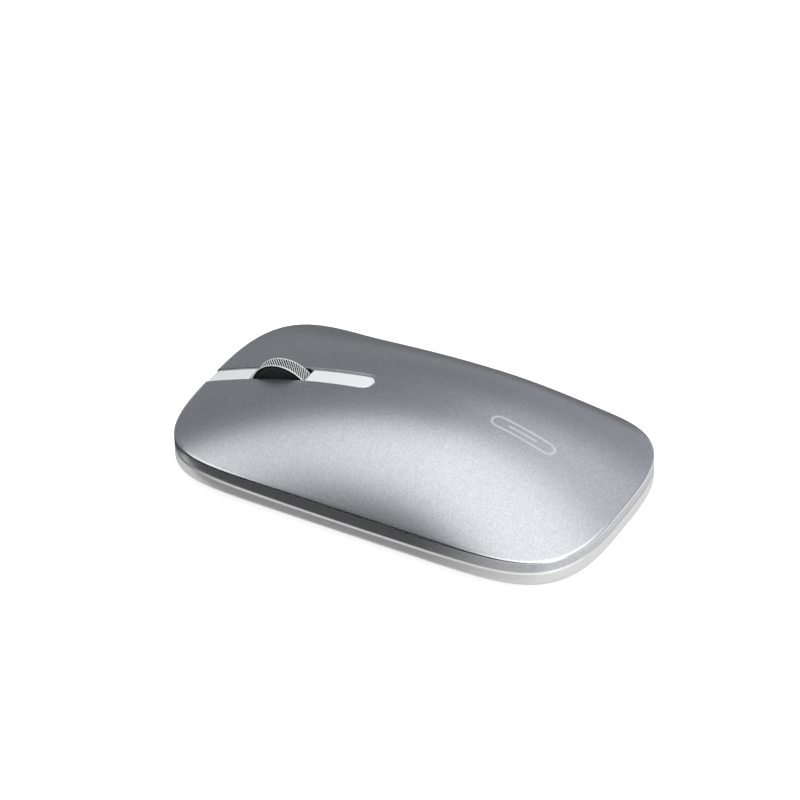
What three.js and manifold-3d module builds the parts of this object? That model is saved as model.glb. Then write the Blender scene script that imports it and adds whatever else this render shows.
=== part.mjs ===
// A slim wireless computer mouse, taken apart into its real pieces.
// Millimetres, +Z up, +Y towards the wheel end, +X to the hand's right.
// Origin: the middle of the footprint, on the surface that the feet stand on.
import * as THREE from "three";
import { ParametricGeometry } from "three/addons/geometries/ParametricGeometry.js";
import { RoundedBoxGeometry } from "three/addons/geometries/RoundedBoxGeometry.js";
import { mergeVertices } from "three/addons/utils/BufferGeometryUtils.js";
import Module from "manifold-3d";

// ---------------------------------------------------------------- driving dimensions
// The outline in plan is a superellipse: two powers for the front corners, two for the rear ones.
const length = 110;
const width = 62.8;
const frontCorner = { across: 2.84, along: 7.89 };
const rearCorner = { across: 3.25, along: 6.38 };

// The crown is a dome over that outline.
const rimZ = 9.5;
const crownRise = 14.46;
const crownPeakY = -10;
const sectionPower = 3;

// Shell walls and the seam between the two shells.
const wall = 1.6;
const baseZ = 0.6;
const partingZ = 6.27;
const partingLift = 0.79;
const partingGap = 0.3;
const frontGap = 0.55;
const undercut = [
  { inset: 7, z: 0.6 },
  { inset: 4.2, z: 1.15 },
  { inset: 1.8, z: 2.2 },
  { inset: 0.35, z: 3.1 },
  { inset: 0, z: 3.8 },
];

// Clearances: a moving piece to its neighbour, and a seated piece to its seat.
const clearance = 0.3;
const seat = 0.1;

// Centre strip.
const stripWidth = 4.7;
const stripRecess = 0.25;
const stripThickness = 1.0;
const slotWidth = stripWidth + 2 * clearance;
const stripEndFromFront = 44.7;
const flangeWidth = 7.9;
const flangeGap = 0.75;
const flangeThickness = 1.2;

// Wheel and its window, placed from the front edge.
const wheelFromFront = 20.8;
const wheelWidth = 3.5;
const wheelStandsProud = 2.8;
const wheelFloorZ = 1.2;
const wheelFloorGap = 1.1;
const windowGap = 0.35;
const tyreDepth = 2.2;
const axleRadius = 1.3;
const axleHexRadius = 1.0;

// Buttons bend about a line across the shell.
const hingeFromFront = 42;
const actuatorGap = 0.1;
const switchSize = 6.2;
const switchFromFront = 14;
const plungerRadius = 1.5;
const plungerHeight = 1.6;

// Circuit board.
const boardZ = 4.0;
const boardThickness = 1.2;
const boardFrontGap = 5.5;
const boardRearFromFront = 52;
const boardMargin = 5.5;

// Charging port.
const portWidth = 8.94;
const portHeight = 3.16;
const portLength = 7.3;
const portFromFront = 1.1;
const portSkin = 0.3;
const portHoleGap = 0.18;

// Wheel housing.
const housingWall = 1.2;
const housingInnerHalf = 4.4;
const tabLength = 6;

// Screws and feet.
const screwRadius = 0.95;
const screwHeadRadius = 2.0;
const screwHeadHeight = 1.2;
const footToScrew = 0.2;
const frontScrewLength = 5;
const rearScrewLength = 8;
const pilotSpare = 1.2;
const bossRadius = 3.1;
const footArc = 60;
const footDepth = 4.4;
const footReach = 18;
const footFromEnd = 9.4;
const footThickness = 1.1;
const rearScrewX = 15;

// Receiver in its bay, and the battery.
const receiver = {
  capLength: 6,
  capWidth: 14.6,
  thickness: 5.8,
  plugLength: 12.4,
  plugWidth: 12,
  plugHeight: 4.5,
};
const bayFromRear = 22.6;
const bayWall = 1.2;
const batteryWidth = 34;
const batteryThickness = 5.8;
const padThickness = 0.4;

const segmentsAround = 60;

// ---------------------------------------------------------------- worked-out places
const front = length / 2;
const rear = -length / 2;
const hingeY = front - hingeFromFront;
const wheelY = front - wheelFromFront;
const floorZ = baseZ + wall;
const boardTop = boardZ + boardThickness;
const wheelBottom = wheelFloorZ + wheelFloorGap;
const wheelTop = crown(0, wheelY) + wheelStandsProud;
const wheelRadius = (wheelTop - wheelBottom) / 2;
const wheelZ = wheelBottom + wheelRadius;
const windowRear = wheelY - windowReach(-1);
const windowFront = wheelY + windowReach(1);
const slotHalf = slotWidth / 2;
const stripEndY = front - stripEndFromFront;
const housingOuterHalf = housingInnerHalf + housingWall;
const housingRear = wheelY - wheelRadius - 0.7 - housingWall;
const housingFront = wheelY + wheelRadius + 0.7 + housingWall;
const housingDrop = flangeGap + flangeThickness + clearance;
const portBack = front - portFromFront - portLength;
const portZ = boardZ + boardThickness / 2 - 0.05;
const tabOuter = housingOuterHalf + tabLength;
const tabMiddle = (housingOuterHalf + tabOuter) / 2;
const frontScrew = { x: tabMiddle + 0.1, y: footLineY(tabMiddle) };
const rearScrew = { x: rearScrewX, y: -footLineY(rearScrewX) };
const switchX = tabOuter + clearance + switchSize / 2;
const switchY = front - switchFromFront;
const plungerTop = boardTop + seat + 5.5;
const switchTop = plungerTop - plungerHeight;
const boardHalf = switchX + boardMargin;
const boardFront = front - boardFrontGap;
const boardRear = front - boardRearFromFront;
const bushHalf = 1.9;
const stemTop = wheelZ - bushHalf - seat;
const wheelSwitchX = housingOuterHalf + clearance + 3;
const encoderInner = -housingOuterHalf - clearance;
const encoder = { x0: encoderInner - 4, x1: encoderInner, halfY: 3, above: 2.15 };
const headTop = footThickness + footToScrew + screwHeadHeight;
const pocketTop = headTop + seat;
const footRecess = footThickness + 0.05;
const bayY = rear + bayFromRear;
const bayHalfX = (receiver.capLength + receiver.plugLength) / 2 + clearance;
const bayHalfY = receiver.capWidth / 2 + clearance;
const receiverZ = baseZ + seat;
const bayCeiling = receiverZ + receiver.thickness + clearance;
const bayFrontY = bayY + bayHalfY + bayWall;
const battery = { rear: bayFrontY + 0.8, front: boardRear - 2.4 };
const sensorY = boardRear + 6.5;
const controlsY = boardRear + 14;
const controlsX = 14;

// ---------------------------------------------------------------- the mouse's surfaces
function corner(y) {
  return y > 0 ? frontCorner : rearCorner;
}

function halfWidth(y, inset = 0) {
  const { across, along } = corner(y);
  const reach = Math.min(1, Math.abs(y) / (length / 2 - inset));
  return (width / 2 - inset) * (1 - reach ** along) ** (1 / across);
}

// A point of the outline in a given direction from the centre.
function rimPoint(angle, inset) {
  const x = Math.cos(angle);
  const y = Math.sin(angle);
  const { across, along } = corner(y);
  const halfX = width / 2 - inset;
  const halfY = length / 2 - inset;
  let near = 0;
  let far = length;
  for (let step = 0; step < 40; step++) {
    const middle = (near + far) / 2;
    const outside = Math.abs((middle * x) / halfX) ** across + Math.abs((middle * y) / halfY) ** along > 1;
    if (outside) far = middle;
    else near = middle;
  }
  return { x: near * x, y: near * y };
}

function crown(x, y, inset = 0) {
  const end = length / 2 - inset;
  const t = y > crownPeakY ? (y - crownPeakY) / (end - crownPeakY) : (crownPeakY - y) / (end + crownPeakY);
  const across = Math.min(1, Math.abs(x) / Math.max(halfWidth(y, inset), 1e-6));
  const rise = crownRise * Math.max(0, 1 - t * t);
  return rimZ - inset + rise * (1 - across ** sectionPower);
}

function parting(y) {
  return partingZ + partingLift * (y / front) ** 2;
}

// The seam is wider towards the front, where the buttons come down.
function seamGap(y) {
  const along = Math.min(1, Math.max(0, (y - hingeY) / hingeFromFront));
  return partingGap + (frontGap - partingGap) * along;
}

const bottomEdge = (y) => parting(y) - partingGap / 2;
const topEdge = (y) => bottomEdge(y) + seamGap(y);

// How far from the axle the window ends: where the tyre passes under the strip, and a gap more.
function windowReach(direction) {
  const step = 0.05;
  const distance = (y) => {
    const level = crown(0, wheelY + direction * y) - stripRecess - stripThickness - wheelZ;
    return Math.hypot(y, level);
  };
  let reach = 0;
  while (distance(reach) < wheelRadius + windowGap) reach += step;
  return reach;
}

// The feet and the screws under them lie on one arc at each end.
function footLineY(x) {
  return front - footFromEnd - footArc + Math.sqrt(footArc ** 2 - x ** 2);
}

// ---------------------------------------------------------------- solids
const wasm = await Module();
wasm.setup();

function solid(geometry) {
  const bare = geometry.clone();
  bare.deleteAttribute("normal");
  bare.deleteAttribute("uv");
  const merged = mergeVertices(bare, 1e-4);
  return new wasm.Manifold(
    new wasm.Mesh({
      numProp: 3,
      vertProperties: new Float32Array(merged.attributes.position.array),
      triVerts: new Uint32Array(merged.index.array),
    }),
  );
}

const join = (...solids) => solids.reduce((all, one) => all.add(one));
const cut = (body, ...tools) => tools.reduce((left, tool) => left.subtract(tool), body);

function box(x0, x1, y0, y1, z0, z1) {
  const geometry = new THREE.BoxGeometry(x1 - x0, y1 - y0, z1 - z0);
  return solid(geometry.translate((x0 + x1) / 2, (y0 + y1) / 2, (z0 + z1) / 2));
}

function roundedBox(x0, x1, y0, y1, z0, z1, radius) {
  const geometry = new RoundedBoxGeometry(x1 - x0, y1 - y0, z1 - z0, 1, radius);
  return solid(geometry.translate((x0 + x1) / 2, (y0 + y1) / 2, (z0 + z1) / 2));
}

function post(x, y, z0, z1, radius, sides = 14) {
  const geometry = new THREE.CylinderGeometry(radius, radius, z1 - z0, sides);
  return solid(geometry.rotateX(Math.PI / 2).translate(x, y, (z0 + z1) / 2));
}

// A rod along X on the wheel's axis.
function axleRod(x0, x1, radius, sides = 16) {
  const geometry = new THREE.CylinderGeometry(radius, radius, x1 - x0, sides);
  return solid(geometry.rotateZ(Math.PI / 2).translate((x0 + x1) / 2, wheelY, wheelZ));
}

function prism(shape, z0, z1) {
  const options = { depth: z1 - z0, bevelEnabled: false, curveSegments: 6 };
  const geometry = new THREE.ExtrudeGeometry(shape, options);
  return solid(geometry.translate(0, 0, z0));
}

// A shape drawn in Y and Z, pushed along X.
function sideways(shape, x0, x1) {
  const geometry = new THREE.ExtrudeGeometry(shape, { depth: x1 - x0, bevelEnabled: false });
  const turn = new THREE.Matrix4().makeBasis(
    new THREE.Vector3(0, 1, 0),
    new THREE.Vector3(0, 0, 1),
    new THREE.Vector3(1, 0, 0),
  );
  return solid(geometry.applyMatrix4(turn).translate(x0, 0, 0));
}

// A rounded rectangle across the given axis, centred on a point, as a bar from one end to the other.
function flatBar(axis, from, to, centre, wide, high, radius) {
  const w = wide / 2;
  const h = high / 2;
  const shape = new THREE.Shape();
  shape.moveTo(-w + radius, -h);
  shape.lineTo(w - radius, -h);
  shape.absarc(w - radius, -h + radius, radius, -Math.PI / 2, 0);
  shape.lineTo(w, h - radius).absarc(w - radius, h - radius, radius, 0, Math.PI / 2);
  shape.lineTo(-w + radius, h).absarc(-w + radius, h - radius, radius, Math.PI / 2, Math.PI);
  shape.lineTo(-w, -h + radius).absarc(-w + radius, -h + radius, radius, Math.PI, 1.5 * Math.PI);
  const options = { depth: to - from, bevelEnabled: false, curveSegments: 4 };
  const geometry = new THREE.ExtrudeGeometry(shape, options).rotateX(Math.PI / 2);
  if (axis === "x") return solid(geometry.rotateZ(Math.PI / 2).translate(from, centre.y, centre.z));
  return solid(geometry.translate(centre.x, to, centre.z));
}

// Stations of a loft, from the bottom up: each gives a point for an angle round the centre.
const pole = (z) => () => new THREE.Vector3(0, 0, z);
const ring = (inset, height) => (angle) => {
  const { x, y } = rimPoint(angle, inset);
  return new THREE.Vector3(x, y, height(y));
};
const crownRing = (share, inset) => (angle) => {
  const { x, y } = rimPoint(angle, inset);
  return new THREE.Vector3(x * share, y * share, crown(x * share, y * share, inset));
};

function loft(stations) {
  const last = stations.length - 1;
  const point = (u, v, target) => target.copy(stations[Math.round(v * last)]((u % 1) * 2 * Math.PI));
  return solid(new ParametricGeometry(point, segmentsAround, last));
}

const crownShares = [0.985, 0.95, 0.88, 0.77, 0.62, 0.43, 0.22];
const dome = (inset) => crownShares.map((share) => crownRing(share, inset));

// Heights along the spine: so far under the shell's outer face, or under its inner face.
const underOuter = (depth) => (y) => crown(0, y) - depth;
const underInner = (depth) => (y) => crown(0, y, wall) - depth;

// A strip's side view between two lines along the spine, from one Y to another.
function spineBand(y0, y1, upper, lower) {
  const steps = 16;
  const along = Array.from({ length: steps + 1 }, (_, i) => y0 + ((y1 - y0) * i) / steps);
  const topLine = along.map((y) => new THREE.Vector2(y, upper(y)));
  const bottomLine = along.map((y) => new THREE.Vector2(y, lower(y))).reverse();
  return new THREE.Shape([...topLine, ...bottomLine]);
}

// A strip in plan with one round end towards the rear.
function tongue(halfWide, endY, farY) {
  const shape = new THREE.Shape();
  shape.moveTo(halfWide, farY).lineTo(-halfWide, farY).lineTo(-halfWide, endY + halfWide);
  shape.absarc(0, endY + halfWide, halfWide, Math.PI, 2 * Math.PI).lineTo(halfWide, farY);
  return shape;
}

// ---------------------------------------------------------------- finishes
const finishes = {
  satinShell: { color: 0x8b8d93, metalness: 0.55, roughness: 0.38 },
  silverShell: { color: 0xd3d4d8, metalness: 0.3, roughness: 0.22 },
  polishedTrim: { color: 0xd7d8da, metalness: 0.9, roughness: 0.2 },
  knurledMetal: { color: 0xbfc1c4, metalness: 1, roughness: 0.3 },
  darkPlastic: { color: 0x2b2c2f, metalness: 0, roughness: 0.5 },
  blackPlastic: { color: 0x17181a, metalness: 0, roughness: 0.45 },
  whitePlastic: { color: 0xe4e2dc, metalness: 0, roughness: 0.5 },
  board: { color: 0x1d5a3a, metalness: 0, roughness: 0.5 },
  steel: { color: 0xb4b6b8, metalness: 1, roughness: 0.35 },
  clearLens: { color: 0xdfe6e8, metalness: 0, roughness: 0.08 },
  foil: { color: 0xb9bcc2, metalness: 0.6, roughness: 0.45 },
  foam: { color: 0x3a3a3c, metalness: 0, roughness: 0.95 },
  redWire: { color: 0xb3211f, metalness: 0, roughness: 0.5 },
  glide: { color: 0x222326, metalness: 0, roughness: 0.3 },
};

const mouse = new THREE.Group();

function piece(name, body, finish) {
  const { vertProperties, triVerts } = body.getMesh();
  const geometry = new THREE.BufferGeometry();
  geometry.setAttribute("position", new THREE.BufferAttribute(vertProperties, 3));
  geometry.setIndex(new THREE.BufferAttribute(triVerts, 1));
  geometry.computeVertexNormals();
  const mesh = new THREE.Mesh(geometry, new THREE.MeshStandardMaterial(finishes[finish]));
  mesh.name = name;
  mouse.add(mesh);
}

const hands = [
  { side: "left", sign: -1 },
  { side: "right", sign: 1 },
];

// ---------------------------------------------------------------- upper shell and buttons
const sky = crown(0, crownPeakY) + 10;
const upperBody = loft([
  pole(partingZ), ring(0, topEdge), ring(0, () => rimZ), ...dome(0), pole(crown(0, 0)),
]);
const upperHollow = loft([
  pole(-1),
  ring(wall, () => -1),
  ring(wall, () => rimZ - wall),
  ...dome(wall),
  pole(crown(0, 0, wall)),
]);
const upperShell = upperBody.subtract(upperHollow);
const stripSlot = prism(tongue(slotHalf, stripEndY - clearance, front + 5), 0, sky);

// A post that grows out of the shell's inner face.
const hangingPost = (x, y, z, radius) => post(x, y, z, sky, radius).intersect(upperBody);

function topShell() {
  const palmSide = box(-width, width, rear - 5, hingeY - clearance / 2, 0, sky);
  const { x, y } = rearScrew;
  const pilotTop = headTop + rearScrewLength + pilotSpare;
  const bosses = [-1, 1].map((sign) => hangingPost(sign * x, y, bossTopZ(), bossRadius - 0.5));
  const pilots = [-1, 1].map((sign) => post(sign * x, y, 0, pilotTop, screwRadius + seat));
  return cut(join(upperShell.intersect(palmSide), ...bosses, ...snapHooks()), stripSlot, ...pilots);
}

// Where the lower shell's rear bosses end and the upper shell's begin.
function bossTopZ() {
  return parting(rearScrew.y) + 0.4;
}

const hookY = 5;
const hookHalf = 3;
const hookZ = boardZ + 0.4;

// Two legs that click into notches in the lower shell's side walls.
function snapHooks() {
  const inner = width / 2 - wall;
  return [-1, 1].flatMap((sign) => {
    const span = (a, b) => [Math.min(sign * a, sign * b), Math.max(sign * a, sign * b)];
    const leg = box(...span(inner - 1.6, inner - 0.4), hookY - hookHalf, hookY + hookHalf, hookZ, rimZ);
    const root = box(...span(inner - 0.6, inner + 0.5), hookY - hookHalf, hookY + hookHalf, 7.3, rimZ - 0.2);
    const across = span(inner - 0.6, inner + 0.4);
    const lug = box(...across, hookY - hookHalf, hookY + hookHalf, hookZ, hookZ + 0.8);
    return [leg, root, lug];
  });
}

function button(sign) {
  const [x0, x1] = sign < 0 ? [-width, -slotHalf] : [slotHalf, width];
  const fingerSide = box(x0, x1, hingeY + clearance / 2, front + 5, 0, sky);
  const boss = hangingPost(sign * switchX, switchY, plungerTop + actuatorGap, plungerRadius);
  const rib = post(sign * switchX, switchY, plungerTop + 1.2, sky, plungerRadius + 1).intersect(upperBody);
  return join(upperShell.intersect(fingerSide), boss, rib);
}

// ---------------------------------------------------------------- lower shell
function lowerShell() {
  const profile = undercut.map(({ inset, z }) => ring(inset, () => z));
  const outer = loft([pole(baseZ), ...profile, ring(0, bottomEdge), pole(bottomEdge(0))]);
  const hollow = loft([
    pole(floorZ),
    ring(wall + 2.2, () => floorZ),
    ring(wall + 0.6, () => floorZ + 1),
    ring(wall, () => floorZ + 2),
    ring(wall, () => sky),
    pole(sky),
  ]);
  const inner = width / 2 - wall;
  const rise = baseZ + 0.6;
  const rearBossTop = bossTopZ() - clearance;
  const underBoard = boardZ - seat;
  const rearBosses = [-1, 1].map((s) =>
    post(s * rearScrew.x, rearScrew.y, rise, rearBossTop, bossRadius));
  const frontBosses = [-1, 1].map((s) =>
    post(s * frontScrew.x, frontScrew.y, rise, underBoard, bossRadius - 0.2));
  const restPosts = [-1, 1].map((s) => post(s * (boardHalf - 2.5), wheelY - 6, rise, underBoard, 1.5, 16));
  const ribs = [-1, 1].map((s) => {
    const x = s * (batteryWidth / 2 + 1.2);
    return box(x - 0.5, x + 0.5, battery.rear, battery.front, rise, floorZ + 3.8);
  });
  const bay = box(
    -bayHalfX - bayWall, bayHalfX + bayWall,
    bayY - bayHalfY - bayWall, bayFrontY,
    rise, bayCeiling + bayWall,
  );
  const solidShell = join(cut(outer, hollow), ...rearBosses, ...frontBosses, ...restPosts, ...ribs, bay);
  const screwHoles = [frontScrew, rearScrew].flatMap(({ x, y }) =>
    [-1, 1].flatMap((s) => [
      post(s * x, y, 0, sky, screwRadius + 0.25),
      post(s * x, y, 0, pocketTop, screwHeadRadius + 0.25),
    ]),
  );
  const footRecesses = [1, -1].map((end) => prism(footShape(end, clearance / 2), 0, footRecess));
  const hookNotches = [-1, 1].map((s) => {
    const x = s * inner;
    const half = hookHalf + clearance;
    return box(x - 0.75, x + 0.75, hookY - half, hookY + half, hookZ - 0.3, hookZ + 1.1);
  });
  const portHole = flatBar("y", boardFront, front + 2, { x: 0, z: portZ },
    portWidth + 2 * portHoleGap, portHeight + 2 * portHoleGap, portHeight / 2);
  const bayHollow = box(-bayHalfX, bayHalfX, bayY - bayHalfY, bayY + bayHalfY, 0, bayCeiling);
  const wheelWell = box(-wheelWidth, wheelWidth,
    wheelY - wheelRadius, wheelY + wheelRadius, wheelFloorZ, floorZ + 1);
  const sensorWindow = box(-3.2, 3.2, sensorY - 4.5, sensorY + 4.5, 0, floorZ + 1);
  const sliderSlot = box(-controlsX - 2, -controlsX + 2, controlsY - 4, controlsY + 4, 0, floorZ + 1);
  const buttonHole = post(controlsX, controlsY, 0, floorZ + 1, 2.1);
  return cut(solidShell, ...screwHoles, ...footRecesses, ...hookNotches, portHole, bayHollow, wheelWell,
    sensorWindow, sliderSlot, buttonHole);
}

// A curved glide foot: a band along an arc with rounded ends.
function footShape(end, extra = 0) {
  const half = Math.asin(footReach / footArc);
  const r = footDepth / 2 + extra;
  const centreY = end * (front - footFromEnd - footArc);
  const middle = (end * Math.PI) / 2;
  const tip = (angle) => [footArc * Math.cos(angle), centreY + footArc * Math.sin(angle)];
  const [a, b] = [middle - half, middle + half];
  const shape = new THREE.Shape();
  shape.absarc(0, centreY, footArc + r, a, b);
  shape.absarc(...tip(b), r, b, b + Math.PI);
  shape.absarc(0, centreY, footArc - r, b, a, true);
  shape.absarc(...tip(a), r, a + Math.PI, a + 2 * Math.PI);
  return shape;
}

// ---------------------------------------------------------------- centre strip
function centreTrim() {
  const face = front - stripRecess;
  const foot = topEdge(front);
  const stripUnder = underOuter(stripRecess + stripThickness);
  const skin = spineBand(stripEndY - 1, face, underOuter(stripRecess), stripUnder);
  const noseTop = crown(0, face) - stripRecess - 0.2;
  const nose = box(-stripWidth / 2, stripWidth / 2, face - stripThickness, face, foot, noseTop);
  const strip = sideways(skin, -stripWidth / 2, stripWidth / 2)
    .intersect(prism(tongue(stripWidth / 2, stripEndY, front + 5), 0, sky));
  const flangeFront = front - wall - 2;
  const flangeRear = stripEndY + 0.6;
  const flangeUnder = underInner(flangeGap + flangeThickness);
  const webUnder = underInner(flangeGap + 0.3);
  const webBand = spineBand(flangeRear, flangeFront, underOuter(stripRecess + 0.6), webUnder);
  const flangeBand = spineBand(flangeRear, flangeFront, underInner(flangeGap), flangeUnder);
  const web = sideways(webBand, -stripWidth / 2 + 0.7, stripWidth / 2 - 0.7);
  const flange = sideways(flangeBand, -flangeWidth / 2, flangeWidth / 2);
  const window = box(-slotHalf, slotHalf, windowRear, windowFront, 0, sky);
  const lowerReach = wheelRadius + 2 * clearance;
  const lowerWindow = box(-slotHalf, slotHalf, wheelY - lowerReach, wheelY + lowerReach, 0, sky);
  return join(cut(join(strip, nose), window), cut(join(web, flange), lowerWindow));
}

// ---------------------------------------------------------------- wheel
function wheelRing() {
  const half = wheelWidth / 2;
  const inner = wheelRadius - tyreDepth;
  const edge = 0.3;
  const profile = [
    [inner, -half], [wheelRadius - edge, -half], [wheelRadius, -half + edge],
    [wheelRadius, half - edge], [wheelRadius - edge, half], [inner, half], [inner, -half],
  ];
  return turned(profile, 40);
}

// A profile of radius and X, turned round the wheel's axis.
function turned(profile, sides) {
  const points = profile.map(([radius, x]) => new THREE.Vector2(radius, x));
  const geometry = new THREE.LatheGeometry(points, sides).rotateZ(-Math.PI / 2);
  return solid(geometry.translate(0, wheelY, wheelZ));
}

function wheelHub() {
  const outer = wheelRadius - tyreDepth - 0.05;
  const inner = axleRadius + 0.05;
  const profile = [
    [inner, -1.7], [inner + 1.2, -1.7], [inner + 1.2, -1.2], [outer, -1.2],
    [outer, 1.2], [inner + 1.2, 1.2], [inner + 1.2, 1.7], [inner, 1.7], [inner, -1.7],
  ];
  return turned(profile, 32);
}

const bushEnd = wheelSwitchX + 1.3;

function wheelAxle() {
  const hexEnd = axleRod(encoder.x0 + 0.5, encoder.x1, axleHexRadius, 6);
  return join(hexEnd, axleRod(encoder.x1 - 0.1, bushEnd - 0.3, axleRadius));
}

function axleBush() {
  const block = box(housingInnerHalf - 0.3, bushEnd,
    wheelY - bushHalf, wheelY + bushHalf, wheelZ - bushHalf, wheelZ + bushHalf);
  return block.subtract(axleRod(housingInnerHalf - 1, bushEnd + 1, axleRadius + seat));
}

function wheelHousing() {
  const roof = underInner(housingDrop);
  const side = spineBand(housingRear, housingFront, roof, () => boardTop + seat);
  const block = sideways(side, -housingOuterHalf, housingOuterHalf);
  const tabTop = boardTop + 3;
  const tabs = [-1, 1].map((s) => {
    const [a, b] = s < 0 ? [-tabOuter, -housingOuterHalf + 0.2] : [housingOuterHalf - 0.2, tabOuter];
    return box(a, b, frontScrew.y - 2.8, frontScrew.y + 2.6, boardTop + seat, tabTop);
  });
  const cavity = box(-housingInnerHalf, housingInnerHalf,
    housingRear + housingWall, housingFront - housingWall, 0, sky);
  const bushHalfGap = bushHalf + clearance;
  const bushSlot = box(housingInnerHalf - 1, housingOuterHalf + 1, wheelY - bushHalfGap, wheelY + bushHalfGap,
    wheelZ - bushHalf - 1, roof(housingRear) + 1);
  const axleSlot = box(-housingOuterHalf - 1, -housingInnerHalf + 1, wheelY - axleRadius - clearance,
    wheelY + axleRadius + clearance, wheelZ - axleRadius - clearance, roof(housingRear) + 1);
  const pilotTop = headTop + frontScrewLength + clearance;
  const pilots = [-1, 1].map((s) =>
    post(s * frontScrew.x, frontScrew.y, 0, pilotTop, screwRadius + seat));
  return cut(join(block, ...tabs), cavity, bushSlot, axleSlot, ...pilots);
}

// ---------------------------------------------------------------- encoder and switches
const encoderBore = 1.8;
const encoderTop = wheelZ + encoder.above;

function encoderBody() {
  const block = box(encoder.x0, encoder.x1,
    wheelY - encoder.halfY, wheelY + encoder.halfY, boardTop + seat, encoderTop);
  return block.subtract(axleRod(encoder.x0 - 1, encoder.x1 + 1, encoderBore));
}

function encoderClip() {
  const x0 = encoder.x0 - 0.35;
  const [y0, y1] = [wheelY - encoder.halfY, wheelY + encoder.halfY];
  const plate = box(x0, encoder.x0 - 0.05, y0, y1, boardTop + seat, encoderTop + 0.25);
  const lid = box(x0, encoder.x1, y0, y1, encoderTop + 0.05, encoderTop + 0.25);
  return join(plate, lid);
}

function encoderRotor() {
  const drum = axleRod(encoder.x0 + 0.3, encoder.x1 - 0.3, encoderBore - 0.15);
  return drum.subtract(axleRod(encoder.x0 - 1, encoder.x1 + 1, axleHexRadius + 0.15, 6));
}

function switchBody(x, y, half, top, wellRadius) {
  const block = box(x - half, x + half, y - half, y + half, boardTop + seat, top);
  return block.subtract(post(x, y, top - 1.4, top + 1, wellRadius));
}

function switchCover(x) {
  const half = switchSize / 2;
  const sheet = box(x - half, x + half, switchY - half, switchY + half, switchTop + 0.05, switchTop + 0.3);
  return sheet.subtract(post(x, switchY, switchTop - 1, switchTop + 1, plungerRadius + 0.25));
}

// ---------------------------------------------------------------- board and what stands on it
function circuitBoard() {
  const outline = loft([
    pole(boardZ), ring(wall + 1, () => boardZ), ring(wall + 1, () => boardTop), pole(boardTop),
  ]);
  const reach = box(-boardHalf, boardHalf, boardRear, boardFront, boardZ - 1, boardTop + 1);
  const blank = reach.intersect(outline);
  const wheelGap = box(-wheelWidth, wheelWidth, wheelY - wheelRadius + 1, wheelY + wheelRadius - 1, 0, sky);
  const portHalf = portWidth / 2 + clearance;
  const portNotch = box(-portHalf, portHalf, portBack - clearance, front, 0, sky);
  const screwHoles = [-1, 1].map((s) => post(s * frontScrew.x, frontScrew.y, 0, sky, screwRadius + 0.3));
  const sensorWindow = box(-2.5, 2.5, sensorY - 3, sensorY + 3, 0, sky);
  return cut(blank, wheelGap, portNotch, sensorWindow, ...screwHoles);
}

// A flat package with a foot of leads down both long sides.
function chip(x, y, halfX, halfY, high) {
  const body = box(x - halfX, x + halfX, y - halfY, y + halfY, boardTop + 0.3, boardTop + high);
  const leads = box(x - halfX - 0.8, x + halfX + 0.8,
    y - halfY + 0.4, y + halfY - 0.4, boardTop + 0.05, boardTop + 0.5);
  return join(body, leads);
}

function sensorLens() {
  const plate = box(-7, 7, sensorY - 7.5, sensorY + 7.5, floorZ + 0.1, boardZ - 0.3);
  const eye = post(0, sensorY - 1.5, floorZ - 0.9, floorZ + 0.5, 2.2);
  return join(plate, eye);
}

// ---------------------------------------------------------------- charging port
function portShell() {
  const centre = { x: 0, z: portZ };
  const portFront = portBack + portLength;
  const outer = flatBar("y", portBack, portFront, centre, portWidth, portHeight, portHeight / 2 - 0.1);
  const inner = flatBar("y", portBack + 0.4, front + 2, centre,
    portWidth - 2 * portSkin, portHeight - 2 * portSkin, portHeight / 2 - portSkin - 0.1);
  return outer.subtract(inner);
}

function portTongue() {
  const back = portBack + 0.5;
  const base = box(-3.4, 3.4, back, back + 1.6, portZ - 0.9, portZ + 0.9);
  return join(base, box(-3.3, 3.3, back, portBack + portLength - 0.8, portZ - 0.35, portZ + 0.35));
}

// ---------------------------------------------------------------- screws
function screw(x, y, shaft) {
  const tip = headTop + shaft;
  const headBottom = headTop - screwHeadHeight;
  const headChamfer = 0.3;
  const profile = [
    [0, headBottom], [screwHeadRadius, headBottom], [screwHeadRadius, headTop - headChamfer],
    [screwHeadRadius - headChamfer, headTop], [screwRadius, headTop],
    [screwRadius, tip - 0.6], [0.4, tip], [0, tip],
  ];
  const points = profile.map(([radius, z]) => new THREE.Vector2(radius, z));
  const body = solid(new THREE.LatheGeometry(points, 12).rotateX(Math.PI / 2).translate(x, y, 0));
  const drive = headBottom + 0.6;
  const slots = [[1.2, 0.25], [0.25, 1.2]].map(([a, b]) => box(x - a, x + a, y - b, y + b, 0, drive));
  return cut(body, ...slots);
}

// ---------------------------------------------------------------- battery
function batteryLead(x, bend) {
  const curve = new THREE.CatmullRomCurve3([
    new THREE.Vector3(x, battery.front + 0.5, floorZ + 4.2),
    new THREE.Vector3(x + bend, battery.front + 1.3, floorZ + 5.6),
    new THREE.Vector3(x + bend, boardRear + 0.6, floorZ + 5.9),
    new THREE.Vector3(x, boardRear + 1.9, floorZ + 4.4),
  ]);
  const section = new THREE.Shape().absarc(0, 0, 0.5, 0, 2 * Math.PI);
  const options = { steps: 8, extrudePath: curve, bevelEnabled: false, curveSegments: 4 };
  return solid(new THREE.ExtrudeGeometry(section, options));
}

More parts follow.
